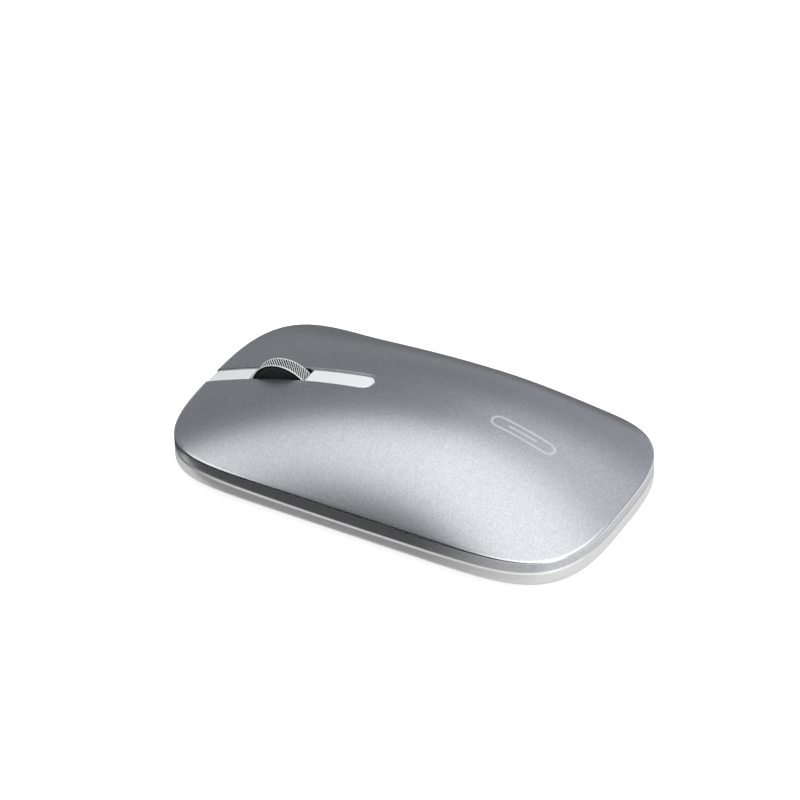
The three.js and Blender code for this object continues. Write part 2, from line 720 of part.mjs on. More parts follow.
function batteryPieces() {
  const half = batteryWidth / 2;
  const z0 = floorZ + padThickness + seat;
  const pad = box(-half + 2, half - 2, battery.rear + 1.5, battery.front - 1.5,
    floorZ + 0.05, floorZ + padThickness);
  const cell = roundedBox(-half, half, battery.rear, battery.front, z0, z0 + batteryThickness, 1.2);
  const plug = box(6.6, 13.4, boardRear + 2.2, boardRear + 5.2, boardTop + seat, boardTop + 2.6);
  piece("battery_pad", pad, "foam");
  piece("battery_cell", cell, "foil");
  piece("battery_connector", plug, "whitePlastic");
  piece("battery_lead_red", batteryLead(8.6, -0.7), "redWire");
  piece("battery_lead_black", batteryLead(11.4, 0.7), "blackPlastic");
}

// ---------------------------------------------------------------- receiver
function receiverPieces() {
  const { capLength, capWidth, thickness, plugLength, plugWidth, plugHeight } = receiver;
  const start = -(capLength + plugLength) / 2;
  const split = start + capLength;
  const end = start + capLength + plugLength;
  const middle = { y: bayY, z: receiverZ + thickness / 2 };
  const tongueZ = middle.z + plugHeight / 2 - 0.45;
  const cap = roundedBox(start, split, bayY - capWidth / 2, bayY + capWidth / 2,
    receiverZ, receiverZ + thickness, 1);
  piece("receiver_cap", cap, "blackPlastic");
  const tube = flatBar("x", split + 0.05, end, middle, plugWidth, plugHeight, 0.5)
    .subtract(flatBar("x", split + 0.4, end + 2, middle, plugWidth - 0.6, plugHeight - 0.6, 0.3));
  piece("receiver_plug", tube, "steel");
  const tongueHalf = plugWidth / 2 - 0.6;
  const tongue = box(split + 0.5, end - 0.5, bayY - tongueHalf, bayY + tongueHalf, tongueZ - 1.7, tongueZ);
  piece("receiver_tongue", tongue, "whitePlastic");
}

// ---------------------------------------------------------------- controls under the mouse
const controlTop = boardZ - 0.1;
const controlBottom = floorZ + 0.5;

function controlPieces() {
  const x = -controlsX;
  const carriage = box(x - 1.1, x + 1.1, controlsY - 2, controlsY + 0.4,
    controlBottom - 0.9, controlBottom + 0.35);
  const knob = box(x - 1.6, x + 1.6, controlsY - 2.6, controlsY + 1, baseZ + 0.2, controlBottom - 0.6);
  const gripTop = baseZ + 0.5;
  const grips = [-1.5, -0.3].map((dy) =>
    box(x - 2, x + 2, controlsY + dy, controlsY + dy + 0.5, 0, gripTop));
  const housing = box(x - 3.6, x + 3.6, controlsY - 4.4, controlsY + 4.4, controlBottom, controlTop)
    .subtract(box(x - 1.4, x + 1.4, controlsY - 2.6, controlsY + 3.4, 0, controlBottom + 0.6));
  piece("power_switch_body", housing, "steel");
  piece("power_slider", cut(join(carriage, knob), ...grips), "blackPlastic");
  const pad = join(
    post(controlsX, controlsY, baseZ + 0.2, controlBottom - 0.1, 1.8),
    post(controlsX, controlsY, controlBottom - 0.2, controlBottom + 0.3, 1.1),
  );
  const tactHalf = 2.6;
  const tact = box(controlsX - tactHalf, controlsX + tactHalf,
    controlsY - tactHalf, controlsY + tactHalf, controlBottom + 0.35, controlTop)
    .subtract(post(controlsX, controlsY, 0, controlBottom + 0.9, 1.4));
  piece("mode_switch_body", tact, "steel");
  piece("mode_button", pad, "blackPlastic");
}

// ---------------------------------------------------------------- assembly
piece("bottom_shell", lowerShell(), "silverShell");
piece("top_shell", topShell(), "satinShell");
piece("centre_trim", centreTrim(), "polishedTrim");
piece("wheel_tyre", wheelRing(), "knurledMetal");
piece("wheel_hub", wheelHub(), "blackPlastic");
piece("wheel_axle", wheelAxle(), "darkPlastic");
piece("axle_bush", axleBush(), "whitePlastic");
piece("wheel_housing", wheelHousing(), "darkPlastic");
piece("encoder_body", encoderBody(), "blackPlastic");
piece("encoder_clip", encoderClip(), "steel");
piece("encoder_rotor", encoderRotor(), "whitePlastic");
piece("wheel_switch_body", switchBody(wheelSwitchX, wheelY, 3, stemTop - 0.8, 1.75), "darkPlastic");
piece("wheel_switch_stem", post(wheelSwitchX, wheelY, stemTop - 1.7, stemTop, 1.5), "whitePlastic");
piece("circuit_board", circuitBoard(), "board");
piece("sensor_chip", chip(0, sensorY, 4.4, 5, 2), "blackPlastic");
piece("sensor_lens", sensorLens(), "clearLens");
piece("control_chip", chip(-controlsX + 2, boardRear + 17, 3, 3, 1.2), "blackPlastic");
piece("charger_chip", chip(controlsX, boardRear + 16, 1.5, 2, 1.1), "blackPlastic");
const crystal = roundedBox(-6.4, -3.2, boardRear + 15.4, boardRear + 17.6, boardTop + 0.1, boardTop + 1, 0.3);
piece("timing_crystal", crystal, "steel");
piece("usb_port_shell", portShell(), "steel");
piece("usb_port_tongue", portTongue(), "blackPlastic");
for (const { side, sign } of hands) {
  const x = sign * switchX;
  piece(side + "_button", button(sign), "satinShell");
  const base = switchBody(x, switchY, switchSize / 2, switchTop, plungerRadius + 0.25);
  const plunger = post(x, switchY, switchTop - 0.9, plungerTop, plungerRadius);
  piece(side + "_switch_body", base, "darkPlastic");
  piece(side + "_switch_cover", switchCover(x), "steel");
  piece(side + "_switch_plunger", plunger, "whitePlastic");
  piece("front_screw_" + side, screw(sign * frontScrew.x, frontScrew.y, frontScrewLength), "steel");
  piece("rear_screw_" + side, screw(sign * rearScrew.x, rearScrew.y, rearScrewLength), "steel");
}
piece("front_foot", prism(footShape(1), 0, footThickness), "glide");
piece("rear_foot", prism(footShape(-1), 0, footThickness), "glide");
batteryPieces();
receiverPieces();
controlPieces();

export default mouse;
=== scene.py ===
"""The looks of a slim wireless computer mouse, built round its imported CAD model.

Sizes in the classes are millimetres, and a mesh becomes metres when it is finished.
X points to the hand's right, Y towards the wheel end and Z up, as in the CAD model.
"""

import logging
import math
from collections.abc import Callable, Iterable
from dataclasses import dataclass, field
from enum import Enum

import bmesh
import bpy
import numpy as np
from bmesh.types import BMEdge, BMVert
from mathutils import Matrix, Vector


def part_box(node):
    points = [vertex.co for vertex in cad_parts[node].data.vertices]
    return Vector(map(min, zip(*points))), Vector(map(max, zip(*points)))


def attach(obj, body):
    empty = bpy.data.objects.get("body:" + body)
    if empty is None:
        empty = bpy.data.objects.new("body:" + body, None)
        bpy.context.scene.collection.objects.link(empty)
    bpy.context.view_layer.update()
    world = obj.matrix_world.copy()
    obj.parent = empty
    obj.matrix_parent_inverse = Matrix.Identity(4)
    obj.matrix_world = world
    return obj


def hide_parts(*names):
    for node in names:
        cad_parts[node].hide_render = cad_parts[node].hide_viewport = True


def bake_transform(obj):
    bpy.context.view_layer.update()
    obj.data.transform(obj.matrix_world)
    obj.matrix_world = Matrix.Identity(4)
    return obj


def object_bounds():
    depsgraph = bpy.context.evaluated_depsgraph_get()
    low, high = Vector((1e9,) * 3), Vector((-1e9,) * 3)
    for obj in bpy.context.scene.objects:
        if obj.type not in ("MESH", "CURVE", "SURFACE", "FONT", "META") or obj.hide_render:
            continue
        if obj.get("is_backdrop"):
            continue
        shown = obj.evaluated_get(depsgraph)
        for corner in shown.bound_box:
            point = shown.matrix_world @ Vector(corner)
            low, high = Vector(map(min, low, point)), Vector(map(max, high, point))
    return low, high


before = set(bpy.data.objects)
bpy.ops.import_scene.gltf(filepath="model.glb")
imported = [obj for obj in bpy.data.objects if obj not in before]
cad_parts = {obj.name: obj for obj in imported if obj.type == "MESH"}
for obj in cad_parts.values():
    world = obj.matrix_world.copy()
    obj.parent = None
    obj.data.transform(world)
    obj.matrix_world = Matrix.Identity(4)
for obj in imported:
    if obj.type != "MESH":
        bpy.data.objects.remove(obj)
CAD_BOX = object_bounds()
MM = 0.001
TINY = 1e-3
SAME_POINT = 1e-5

Colour = tuple[float, float, float]
Point = tuple[float, float]
Node = bpy.types.Node
Socket = bpy.types.NodeSocket
Wiring = Callable[["Shader", Socket, Socket], tuple[Socket, Socket]]
log = logging.getLogger("mouse")


class Side(Enum):
    """Which hand's side of the mouse a piece is on, as the sign of its X."""

    LEFT = -1
    RIGHT = 1

    @property
    def word(self) -> str:
        """The side's name as the CAD nodes and bodies spell it."""
        return self.name.lower()


# ---------------------------------------------------------------- shader building


class Shader:
    """A node tree under construction, with short calls for the nodes that the finishes use."""

    def __init__(self, tree: bpy.types.NodeTree) -> None:
        """Takes the tree that new nodes go into.

        Args:
            tree: An empty material, group or world tree.
        """
        self.tree = tree

    def add(self, kind: str, settings: dict[str, object] | None = None, **inputs: object) -> Node:
        """Adds a node, sets its options and fills its inputs.

        Args:
            kind: The node's type, without the ShaderNode in front.
            settings: Options that aren't sockets, such as an operation.
            **inputs: A socket to link or a value for each input, with _ for a space.

        Returns:
            The new node.
        """
        node = self.tree.nodes.new("ShaderNode" + kind)
        for name, value in (settings or {}).items():
            setattr(node, name, value)
        for name, value in inputs.items():
            self.fill(node.inputs[name.replace("_", " ")], value)
        return node

    def fill(self, socket: Socket, value: object) -> None:
        """Links a socket into an input, or sets the input to a constant.

        Args:
            socket: The input.
            value: An output socket, a number, or a colour of three numbers.
        """
        if isinstance(value, Socket):
            self.tree.links.new(value, socket)
        elif isinstance(value, tuple) and socket.type == "RGBA":
            socket.default_value = (*value, 1.0)
        else:
            socket.default_value = value

    def math(self, operation: str, *values: object) -> Socket:
        """Adds a Math node.

        Args:
            operation: The operation's name.
            *values: A socket or a number for each operand.

        Returns:
            The result's socket.
        """
        node = self.add("Math", {"operation": operation})
        for socket, value in zip(node.inputs, values, strict=False):
            self.fill(socket, value)
        return node.outputs[0]

    def remap(self, value: object, low: float, high: float, to_low: float, to_high: float) -> Socket:
        """Scales a value smoothly from one range to another, and holds it inside.

        Args:
            value: The socket to scale.
            low: Start of the range it comes in.
            high: End of that range.
            to_low: What low becomes.
            to_high: What high becomes.

        Returns:
            The result's socket.
        """
        node = self.add("MapRange", {"interpolation_type": "SMOOTHSTEP"})
        ends = {"Value": value, "From Min": low, "From Max": high, "To Min": to_low, "To Max": to_high}
        for name, number in ends.items():
            self.fill(node.inputs[name], number)
        return node.outputs["Result"]

    def mix(self, share: object, first: object, second: object, blend: str = "MIX") -> Socket:
        """Mixes two colours.

        Args:
            share: How much of the second colour shows, from 0 to 1.
            first: Colour or socket.
            second: Colour or socket.
            blend: How they are mixed.

        Returns:
            The mixed colour's socket.
        """
        node = self.add("Mix", {"data_type": "RGBA", "blend_type": blend})
        self.fill(node.inputs[0], share)
        self.fill(node.inputs[6], first)
        self.fill(node.inputs[7], second)
        return node.outputs[2]

    def shade(self, colour: object, value: object) -> Socket:
        """Multiplies a colour by a value.

        Args:
            colour: Colour or socket.
            value: The value's socket.

        Returns:
            The shaded colour's socket.
        """
        return self.mix(1.0, colour, value, "MULTIPLY")

    def join(self, kind: str, first: Node, second: Node, share: object = None) -> Node:
        """Adds or mixes two shaders.

        Args:
            kind: AddShader or MixShader.
            first: The first shader.
            second: The second shader.
            share: How much of the second shows, for a mix.

        Returns:
            The node of the joined shader.
        """
        node = self.add(kind)
        if share is not None:
            self.fill(node.inputs[0], share)
        self.fill(node.inputs[-2], first.outputs[0])
        self.fill(node.inputs[-1], second.outputs[0])
        return node

    def reach(self, first: object, second: object) -> Socket:
        """The length of the diagonal of two sides.

        Args:
            first: Socket or number.
            second: Socket or number.

        Returns:
            The length's socket.
        """
        squares = [self.math("MULTIPLY", side, side) for side in (first, second)]
        return self.math("SQRT", self.math("ADD", *squares))

    def place(self) -> Socket:
        """The socket of the object coordinates, in metres."""
        return self.add("TexCoord").outputs["Object"]

    def axes(self) -> tuple[Socket, ...]:
        """The sockets of X, Y and Z in object coordinates, in metres."""
        return tuple(self.add("SeparateXYZ", Vector=self.place()).outputs)

    def relief(self, height: Socket, depth: float) -> Socket:
        """A bumped normal.

        Args:
            height: The height's socket, from 0 to 1.
            depth: How deep the full height is, in millimetres.

        Returns:
            The normal's socket.
        """
        return self.add("Bump", Height=height, Distance=depth * MM, Strength=1.0).outputs["Normal"]


def empty_shader(block: bpy.types.Material | bpy.types.World) -> Shader:
    """Empties the node tree of a material or world, ready to be built.

    Args:
        block: The material or world.

    Returns:
        Its tree.
    """
    block.use_nodes = True
    block.node_tree.nodes.clear()
    return Shader(block.node_tree)


class Effects:
    """The surface effects that several finishes share, each a node group built once.

    Each group has the inputs Scale, in details to a metre, and Contrast, and the
    outputs Shade, around 1, and Height, from 0 to 1.
    """

    @staticmethod
    def once(name: str, wire: Wiring) -> bpy.types.NodeTree:
        """Gives a group, built the first time that it is asked for.

        Args:
            name: The group's name.
            wire: Adds its nodes, from its scale and contrast to its shade and height.

        Returns:
            The group.
        """
        found = bpy.data.node_groups.get(name)
        if found is not None:
            return found
        tree = bpy.data.node_groups.new(name, "ShaderNodeTree")
        for label in ("Scale", "Contrast"):
            tree.interface.new_socket(label, in_out="INPUT", socket_type="NodeSocketFloat")
        for label in ("Shade", "Height"):
            tree.interface.new_socket(label, in_out="OUTPUT", socket_type="NodeSocketFloat")
        shader = Shader(tree)
        given = tree.nodes.new("NodeGroupInput").outputs
        result = tree.nodes.new("NodeGroupOutput").inputs
        shade, height = wire(shader, given["Scale"], given["Contrast"])
        shader.fill(result["Shade"], shade)
        shader.fill(result["Height"], height)
        return tree

    @staticmethod
    def grain(shader: Shader, scale: Socket, contrast: Socket) -> tuple[Socket, Socket]:
        """Fine moulded or sprayed grain over a slow mottle.

        Args:
            shader: The group's tree.
            scale: Grains in a metre.
            contrast: How much the grain shows.

        Returns:
            The shade and the height.
        """
        fine = shader.add("TexNoise", Vector=shader.place(), Scale=scale, Detail=3.0).outputs[0]
        mottle = shader.add("TexNoise", Vector=shader.place(), Scale=90.0, Detail=2.0).outputs[0]
        drift = shader.math("MULTIPLY_ADD", mottle, 0.35, -0.35 / 2)
        grain = shader.math("ADD", shader.math("SUBTRACT", fine, 0.5), drift)
        return shader.math("MULTIPLY_ADD", grain, contrast, 1.0), fine

    @staticmethod
    def flake(shader: Shader, scale: Socket, contrast: Socket) -> tuple[Socket, Socket]:
        """Flakes of pearl in a paint, some catching the light.

        Args:
            shader: The group's tree.
            scale: Flakes in a metre.
            contrast: How much the flakes show.

        Returns:
            The shade and the height.
        """
        cells = shader.add("TexVoronoi", Vector=shader.place(), Scale=scale)
        tone = shader.add("SeparateColor", Color=cells.outputs["Color"]).outputs[0]
        lift = shader.math("MULTIPLY", shader.math("SUBTRACT", tone, 0.5), contrast)
        return shader.math("ADD", lift, 1.0), tone

    @staticmethod
    def brushing(shader: Shader, scale: Socket, contrast: Socket) -> tuple[Socket, Socket]:
        """Fine scratches along Y, as on rolled or brushed metal.

        Args:
            shader: The group's tree.
            scale: Scratches in a metre.
            contrast: How much the scratches show.

        Returns:
            The shade and the height.
        """
        stretched = shader.add("Mapping", Vector=shader.place())
        stretched.inputs["Scale"].default_value = (1.0, 0.06, 1.0)
        fine = shader.add("TexNoise", Vector=stretched.outputs[0], Scale=scale, Detail=2.0).outputs[0]
        offset = shader.math("SUBTRACT", fine, 0.5)
        return shader.math("MULTIPLY_ADD", offset, contrast, 1.0), fine

    @classmethod
    def put(cls, shader: Shader, effect: Wiring, size: float, contrast: float) -> dict[str, Socket]:
        """Places an effect in a material.

        Args:
            shader: The material's tree.
            effect: One of the effects above.
            size: Size of its detail, in millimetres.
            contrast: How much it shows.

        Returns:
            The sockets of its Shade and its Height.
        """
        node = shader.add("Group")
        node.node_tree = cls.once(effect.__name__, effect)
        shader.fill(node.inputs["Scale"], 1.0 / (size * MM))
        shader.fill(node.inputs["Contrast"], contrast)
        return {"Shade": node.outputs["Shade"], "Height": node.outputs["Height"]}


# ---------------------------------------------------------------- finishes


@dataclass(frozen=True)
class Finish:
    """What every finish has.

    Attributes:
        name: The material's name.
        slot: Name of its material slot; not used.
    """

    name: str
    slot: str

    def material(self) -> bpy.types.Material:
        """The finish's material, made the first time it is asked for.

        Returns:
            The material.
        """
        found = bpy.data.materials.get(self.name)
        if found is not None:
            return found
        made = bpy.data.materials.new(self.name)
        shader = empty_shader(made)
        shader.add("OutputMaterial", Surface=self.surface(shader).outputs[0])
        return made

    def surface(self, shader: Shader) -> Node:
        """Builds the surface shader.

        Args:
            shader: The material's tree.

        Returns:
            The node whose first output is the surface.
        """
        raise NotImplementedError


@dataclass(frozen=True)
class Moulded(Finish):
    """Moulded plastic with a spark-eroded grain.

    Attributes:
        colour: Linear colour.
        roughness: Mean roughness.
        grain: Size of the grain, in millimetres.
        depth: Depth of the grain, in millimetres.
    """

    colour: Colour
    roughness: float
    grain: float = 0.35
    depth: float = 0.006

    def surface(self, shader: Shader) -> Node:
        """Builds the plastic.

        Args:
            shader: The material's tree.

        Returns:
            The node of its surface.
        """
        grain = Effects.put(shader, Effects.grain, self.grain, contrast=0.22)
        return shader.add(
            "BsdfPrincipled",
            Base_Color=shader.shade(self.colour, grain["Shade"]),
            Roughness=shader.math("MULTIPLY", grain["Shade"], self.roughness),
            Normal=shader.relief(grain["Height"], self.depth),
        )


@dataclass(frozen=True)
class PearlPaint(Finish):
    """Sprayed metallic paint with pearl flakes, a polished edge with a painted highlight and a small printed
    mark.

    Attributes:
        colour: Linear colour of the paint.
        metallic: How metallic the paint is.
        roughness: Mean roughness.
        flake: Size of the flakes, in millimetres.
        mark_colour: Linear colour of the print.
        mark_metallic: How metallic the print is, as a share of the paint.
        mark_centre: The print's centre in plan, in millimetres.
        mark_half: Half the length of the print's straight sides.
        mark_bar: Half the length of the bar inside, as a share of mark_half.
        mark_radius: Radius of its round ends.
        mark_line: Half the width of its line.
        mark_soft: Half the width over which the line fades out.
        rim_z: Height of the polished edge and its painted highlight.
        rim_from: Heights under and over it between which the polish and the painted highlight start and end.
        rim_fade: Height over which the polish and the painted highlight fade, under and over the edge.
        rim_painted_highlight: How much brighter the base colour is painted on the edge, as a painted
            highlight.
        rim_gloss: Share of the roughness that the polish takes off.
    """

    colour: Colour
    metallic: float
    roughness: float
    flake: float = 0.3
    mark_colour: Colour = (0.62, 0.63, 0.66)
    mark_metallic: float = 0.4
    mark_centre: tuple[float, float] = (0.0, -29.0)
    mark_half: float = 6.2
    mark_bar: float = 0.55
    mark_radius: float = 1.7
    mark_line: float = 0.3
    mark_soft: float = 0.08
    rim_z: float = 9.5
    rim_from: tuple[float, float] = (-0.3, 0.2)
    rim_fade: tuple[float, float] = (0.15, 0.25)
    rim_painted_highlight: float = 0.35
    rim_gloss: float = 0.55

    def rim(self, shader: Shader) -> Socket:
        """The polished edge round the crown, which also carries the painted highlight.

        Args:
            shader: The material's tree.

        Returns:
            The mask's socket, 1 on the edge.
        """
        _, _, z = shader.axes()
        low, high = (self.rim_z + offset for offset in self.rim_from)
        below = shader.remap(z, (low - self.rim_fade[0]) * MM, low * MM, 0.0, 1.0)
        above = shader.remap(z, high * MM, (high + self.rim_fade[1]) * MM, 1.0, 0.0)
        return shader.math("MULTIPLY", above, below)

    def line(self, shader: Shader, distance: Socket) -> Socket:
        """A printed line.

        Args:
            shader: The material's tree.
            distance: The distance from the line's middle, in metres.

        Returns:
            The mask's socket, 1 on the line.
        """
        inside, outside = (self.mark_line + soft for soft in (-self.mark_soft, self.mark_soft))
        return shader.remap(distance, inside * MM, outside * MM, 1.0, 0.0)

    def mark(self, shader: Shader) -> Socket:
        """The print's mask: a rounded outline lying along the mouse, with a short bar inside.

        Args:
            shader: The material's tree.

        Returns:
            The mask's socket, 1 on the print.
        """
        x, y, _ = shader.axes()
        across = shader.math("SUBTRACT", x, self.mark_centre[0] * MM)
        along = shader.math("ABSOLUTE", shader.math("SUBTRACT", y, self.mark_centre[1] * MM))
        halves = (self.mark_half * MM, self.mark_bar * self.mark_half * MM)
        past_ends = [shader.math("MAXIMUM", shader.math("SUBTRACT", along, half), 0.0) for half in halves]
        to_outline, to_bar = (shader.reach(across, past) for past in past_ends)
        from_outline = shader.math("ABSOLUTE", shader.math("SUBTRACT", to_outline, self.mark_radius * MM))
        return shader.math("MAXIMUM", self.line(shader, from_outline), self.line(shader, to_bar))

    def surface(self, shader: Shader) -> Node:
        """Builds the paint.

        Args:
            shader: The material's tree.

        Returns:
            The node of its surface.
        """
        flake = Effects.put(shader, Effects.flake, self.flake, contrast=0.2)
        grain = Effects.put(shader, Effects.grain, 2 * self.flake, contrast=0.12)
        rim, mark = self.rim(shader), self.mark(shader)
        # Painted highlight: the base colour is brightened along the crown's edge, on top of the edge's real
        # lower roughness.
        painted_highlight = shader.math("MULTIPLY_ADD", rim, self.rim_painted_highlight, 1.0)
        shade = shader.math("MULTIPLY", shader.math("MULTIPLY", flake["Shade"], grain["Shade"]), painted_highlight)
        gloss = shader.math("MULTIPLY_ADD", rim, -self.rim_gloss * self.roughness, self.roughness)
        height = shader.math("MULTIPLY_ADD", flake["Height"], 0.5, grain["Height"])
        fall = (self.mark_metallic - 1.0) * self.metallic
        return shader.add(
            "BsdfPrincipled",
            Base_Color=shader.mix(mark, shader.shade(self.colour, shade), self.mark_colour),
            Metallic=shader.math("MULTIPLY_ADD", mark, fall, self.metallic),
            Roughness=shader.math("MULTIPLY", grain["Shade"], gloss),
            Normal=shader.relief(height, 0.004),
        )


@dataclass(frozen=True)
class SilverPaint(Finish):
    """Glossy silver-white paint under a clear coat.

    Attributes:
        colour: Linear colour.
        metallic: How metallic the paint is.
        roughness: Mean roughness.
        coat: Weight of the clear coat.
    """

    colour: Colour
    metallic: float
    roughness: float
    coat: float

    def surface(self, shader: Shader) -> Node:
        """Builds the paint.

        Args:
            shader: The material's tree.

        Returns:
            The node of its surface.
        """
        flake = Effects.put(shader, Effects.flake, 0.2, contrast=0.06)
        grain = Effects.put(shader, Effects.grain, 0.8, contrast=0.06)
        shade = shader.math("MULTIPLY", flake["Shade"], grain["Shade"])
        return shader.add(
            "BsdfPrincipled",
            Base_Color=shader.shade(self.colour, shade),
            Metallic=self.metallic,
            Roughness=shader.math("MULTIPLY", grain["Shade"], self.roughness),
            Coat_Weight=self.coat,
            Coat_Roughness=0.08,
            Normal=shader.relief(grain["Height"], 0.002),
        )


@dataclass(frozen=True)
class Metal(Finish):
    """Bare or plated metal with fine brushing.

    Attributes:
        colour: Linear colour.
        roughness: Mean roughness.
        metallic: How metallic it is; under 1 for a metallised plastic.
        contrast: How much the brushing shows.
    """

    colour: Colour
    roughness: float
    metallic: float = 1.0
    contrast: float = 0.15

    def surface(self, shader: Shader) -> Node:
        """Builds the metal.

        Args:
            shader: The material's tree.

        Returns:
            The node of its surface.
        """
        brushed = Effects.put(shader, Effects.brushing, 0.25, self.contrast)
        return shader.add(
            "BsdfPrincipled",
            Base_Color=shader.shade(self.colour, brushed["Shade"]),
            Metallic=self.metallic,
            Roughness=shader.math("MULTIPLY", brushed["Shade"], self.roughness),
            Normal=shader.relief(brushed["Height"], 0.002),
        )


@dataclass(frozen=True)
class KnurledMetal(Metal):
    """Metal with painted shade darkening the valleys between its ridges, on a ring that turns about a line
    along X.

    Attributes:
        centre: Y and Z of that line, in millimetres.
        valley: Radius at the bottom of the valleys.
        ridge: Radius from which the painted shade is gone and the ridges show the plain metal.
        painted_valley_shade: Linear colour of the painted shade at the bottom of the valleys.
    """

    centre: tuple[float, float] = (34.2, 11.19)
    valley: float = 8.6
    ridge: float = 8.73
    painted_valley_shade: Colour = (0.006, 0.006, 0.007)

    def surface(self, shader: Shader) -> Node:
        """Builds the metal.

        Args:
            shader: The material's tree.

        Returns:
            The node of its surface.
        """
        _, y, z = shader.axes()
        out_y = shader.math("SUBTRACT", y, self.centre[0] * MM)
        out_z = shader.math("SUBTRACT", z, self.centre[1] * MM)
        # Painted shade: the base colour darkens from the ridges towards the bottom of the knurl's valleys.
        unshaded_share = shader.remap(shader.reach(out_y, out_z), self.valley * MM, self.ridge * MM, 0.0, 1.0)
        brushed = Effects.put(shader, Effects.brushing, 0.25, self.contrast)
        return shader.add(
            "BsdfPrincipled",
            Base_Color=shader.shade(shader.mix(unshaded_share, self.painted_valley_shade, self.colour), brushed["Shade"]),
            Metallic=self.metallic,
            Roughness=shader.math("MULTIPLY", brushed["Shade"], self.roughness),
        )


@dataclass(frozen=True)
class BoardLaminate(Finish):
    """Green solder mask over copper tracks."""

    def surface(self, shader: Shader) -> Node:
        """Builds the laminate.

        Args:
            shader: The material's tree.

        Returns:
            The node of its surface.
        """
        grain = Effects.put(shader, Effects.grain, 0.5, contrast=0.2)
        tracks = shader.add(
            "TexBrick",
            {"offset": 0.5},
            Vector=shader.place(),
            Color1=(0.0, 0.0, 0.0),
            Color2=(0.0, 0.0, 0.0),
            Mortar=(1.0, 1.0, 1.0),
            Scale=260.0,
            Mortar_Size=0.03,
        )
        base = shader.mix(tracks.outputs["Color"], (0.012, 0.085, 0.035), (0.03, 0.16, 0.06))
        return shader.add(
            "BsdfPrincipled",
            Base_Color=shader.shade(base, grain["Shade"]),
            Roughness=shader.math("MULTIPLY", grain["Shade"], 0.4),
            Normal=shader.relief(tracks.outputs["Color"], 0.03),
        )


@dataclass(frozen=True)
class Foil(Finish):
    """Crinkled silver foil round the battery."""

    def surface(self, shader: Shader) -> Node:
        """Builds the foil.

        Args:
            shader: The material's tree.

        Returns:
            The node of its surface.
        """
        crinkle = shader.add("TexNoise", Vector=shader.place(), Scale=320.0, Detail=4.0)
        grain = Effects.put(shader, Effects.grain, 0.6, contrast=0.2)
        return shader.add(
            "BsdfPrincipled",
            Base_Color=shader.shade((0.55, 0.56, 0.59), grain["Shade"]),
            Metallic=0.85,
            Roughness=shader.math("MULTIPLY_ADD", crinkle.outputs[0], 0.25, 0.25),
            Normal=shader.relief(crinkle.outputs[0], 0.25),
        )


@dataclass(frozen=True)
class ClearLens(Finish):
    """Clear moulded lens plastic."""

    def surface(self, shader: Shader) -> Node:
        """Builds the lens plastic.

        Args:
            shader: The material's tree.

        Returns:
            The node of its surface.
        """
        grain = Effects.put(shader, Effects.grain, 0.8, contrast=0.1)
        return shader.add(
            "BsdfPrincipled",
            Base_Color=shader.shade((0.86, 0.9, 0.92), grain["Shade"]),
            Roughness=shader.math("MULTIPLY", grain["Shade"], 0.06),
            Transmission_Weight=0.9,
            IOR=1.49,
        )


SATIN = PearlPaint("satin_grey_paint", "satin_shell", (0.695, 0.699, 0.724), 1.0, 0.335)
SILVER = SilverPaint("silver_white_paint", "silver_shell", (0.84, 0.83, 0.82), 0.64, 0.3, 0.4)
TRIM = Metal("bright_trim", "polished_trim", (0.93, 0.93, 0.945), 0.26, 0.08, 0.04)
KNURL = KnurledMetal("knurled_ring", "knurled_metal", (0.97, 0.97, 0.97), 0.26, 0.3, 0.1)
DISC = Moulded("wheel_disc_plastic", "dark_plastic", (0.035, 0.036, 0.04), 0.45)
DARK = Moulded("dark_plastic", "dark_plastic", (0.018, 0.018, 0.02), 0.5)
WHITE = Moulded("white_plastic", "white_plastic", (0.72, 0.7, 0.65), 0.45)
GLIDE = Moulded("glide_foot", "glide", (0.02, 0.02, 0.022), 0.28, 0.5, 0.004)
FOAM = Moulded("foam_pad", "foam", (0.045, 0.045, 0.05), 0.9, 0.6, 0.12)
RED = Moulded("red_insulation", "red_wire", (0.42, 0.015, 0.012), 0.4)
BLACK = Moulded("black_insulation", "black_wire", (0.012, 0.012, 0.013), 0.4)
STEEL = Metal("stamped_steel", "steel", (0.6, 0.61, 0.62), 0.32)
BOARD = BoardLaminate("board_laminate", "board")
FOIL = Foil("battery_foil", "foil")
LENS = ClearLens("lens_plastic", "clear_lens")


# ---------------------------------------------------------------- mesh building


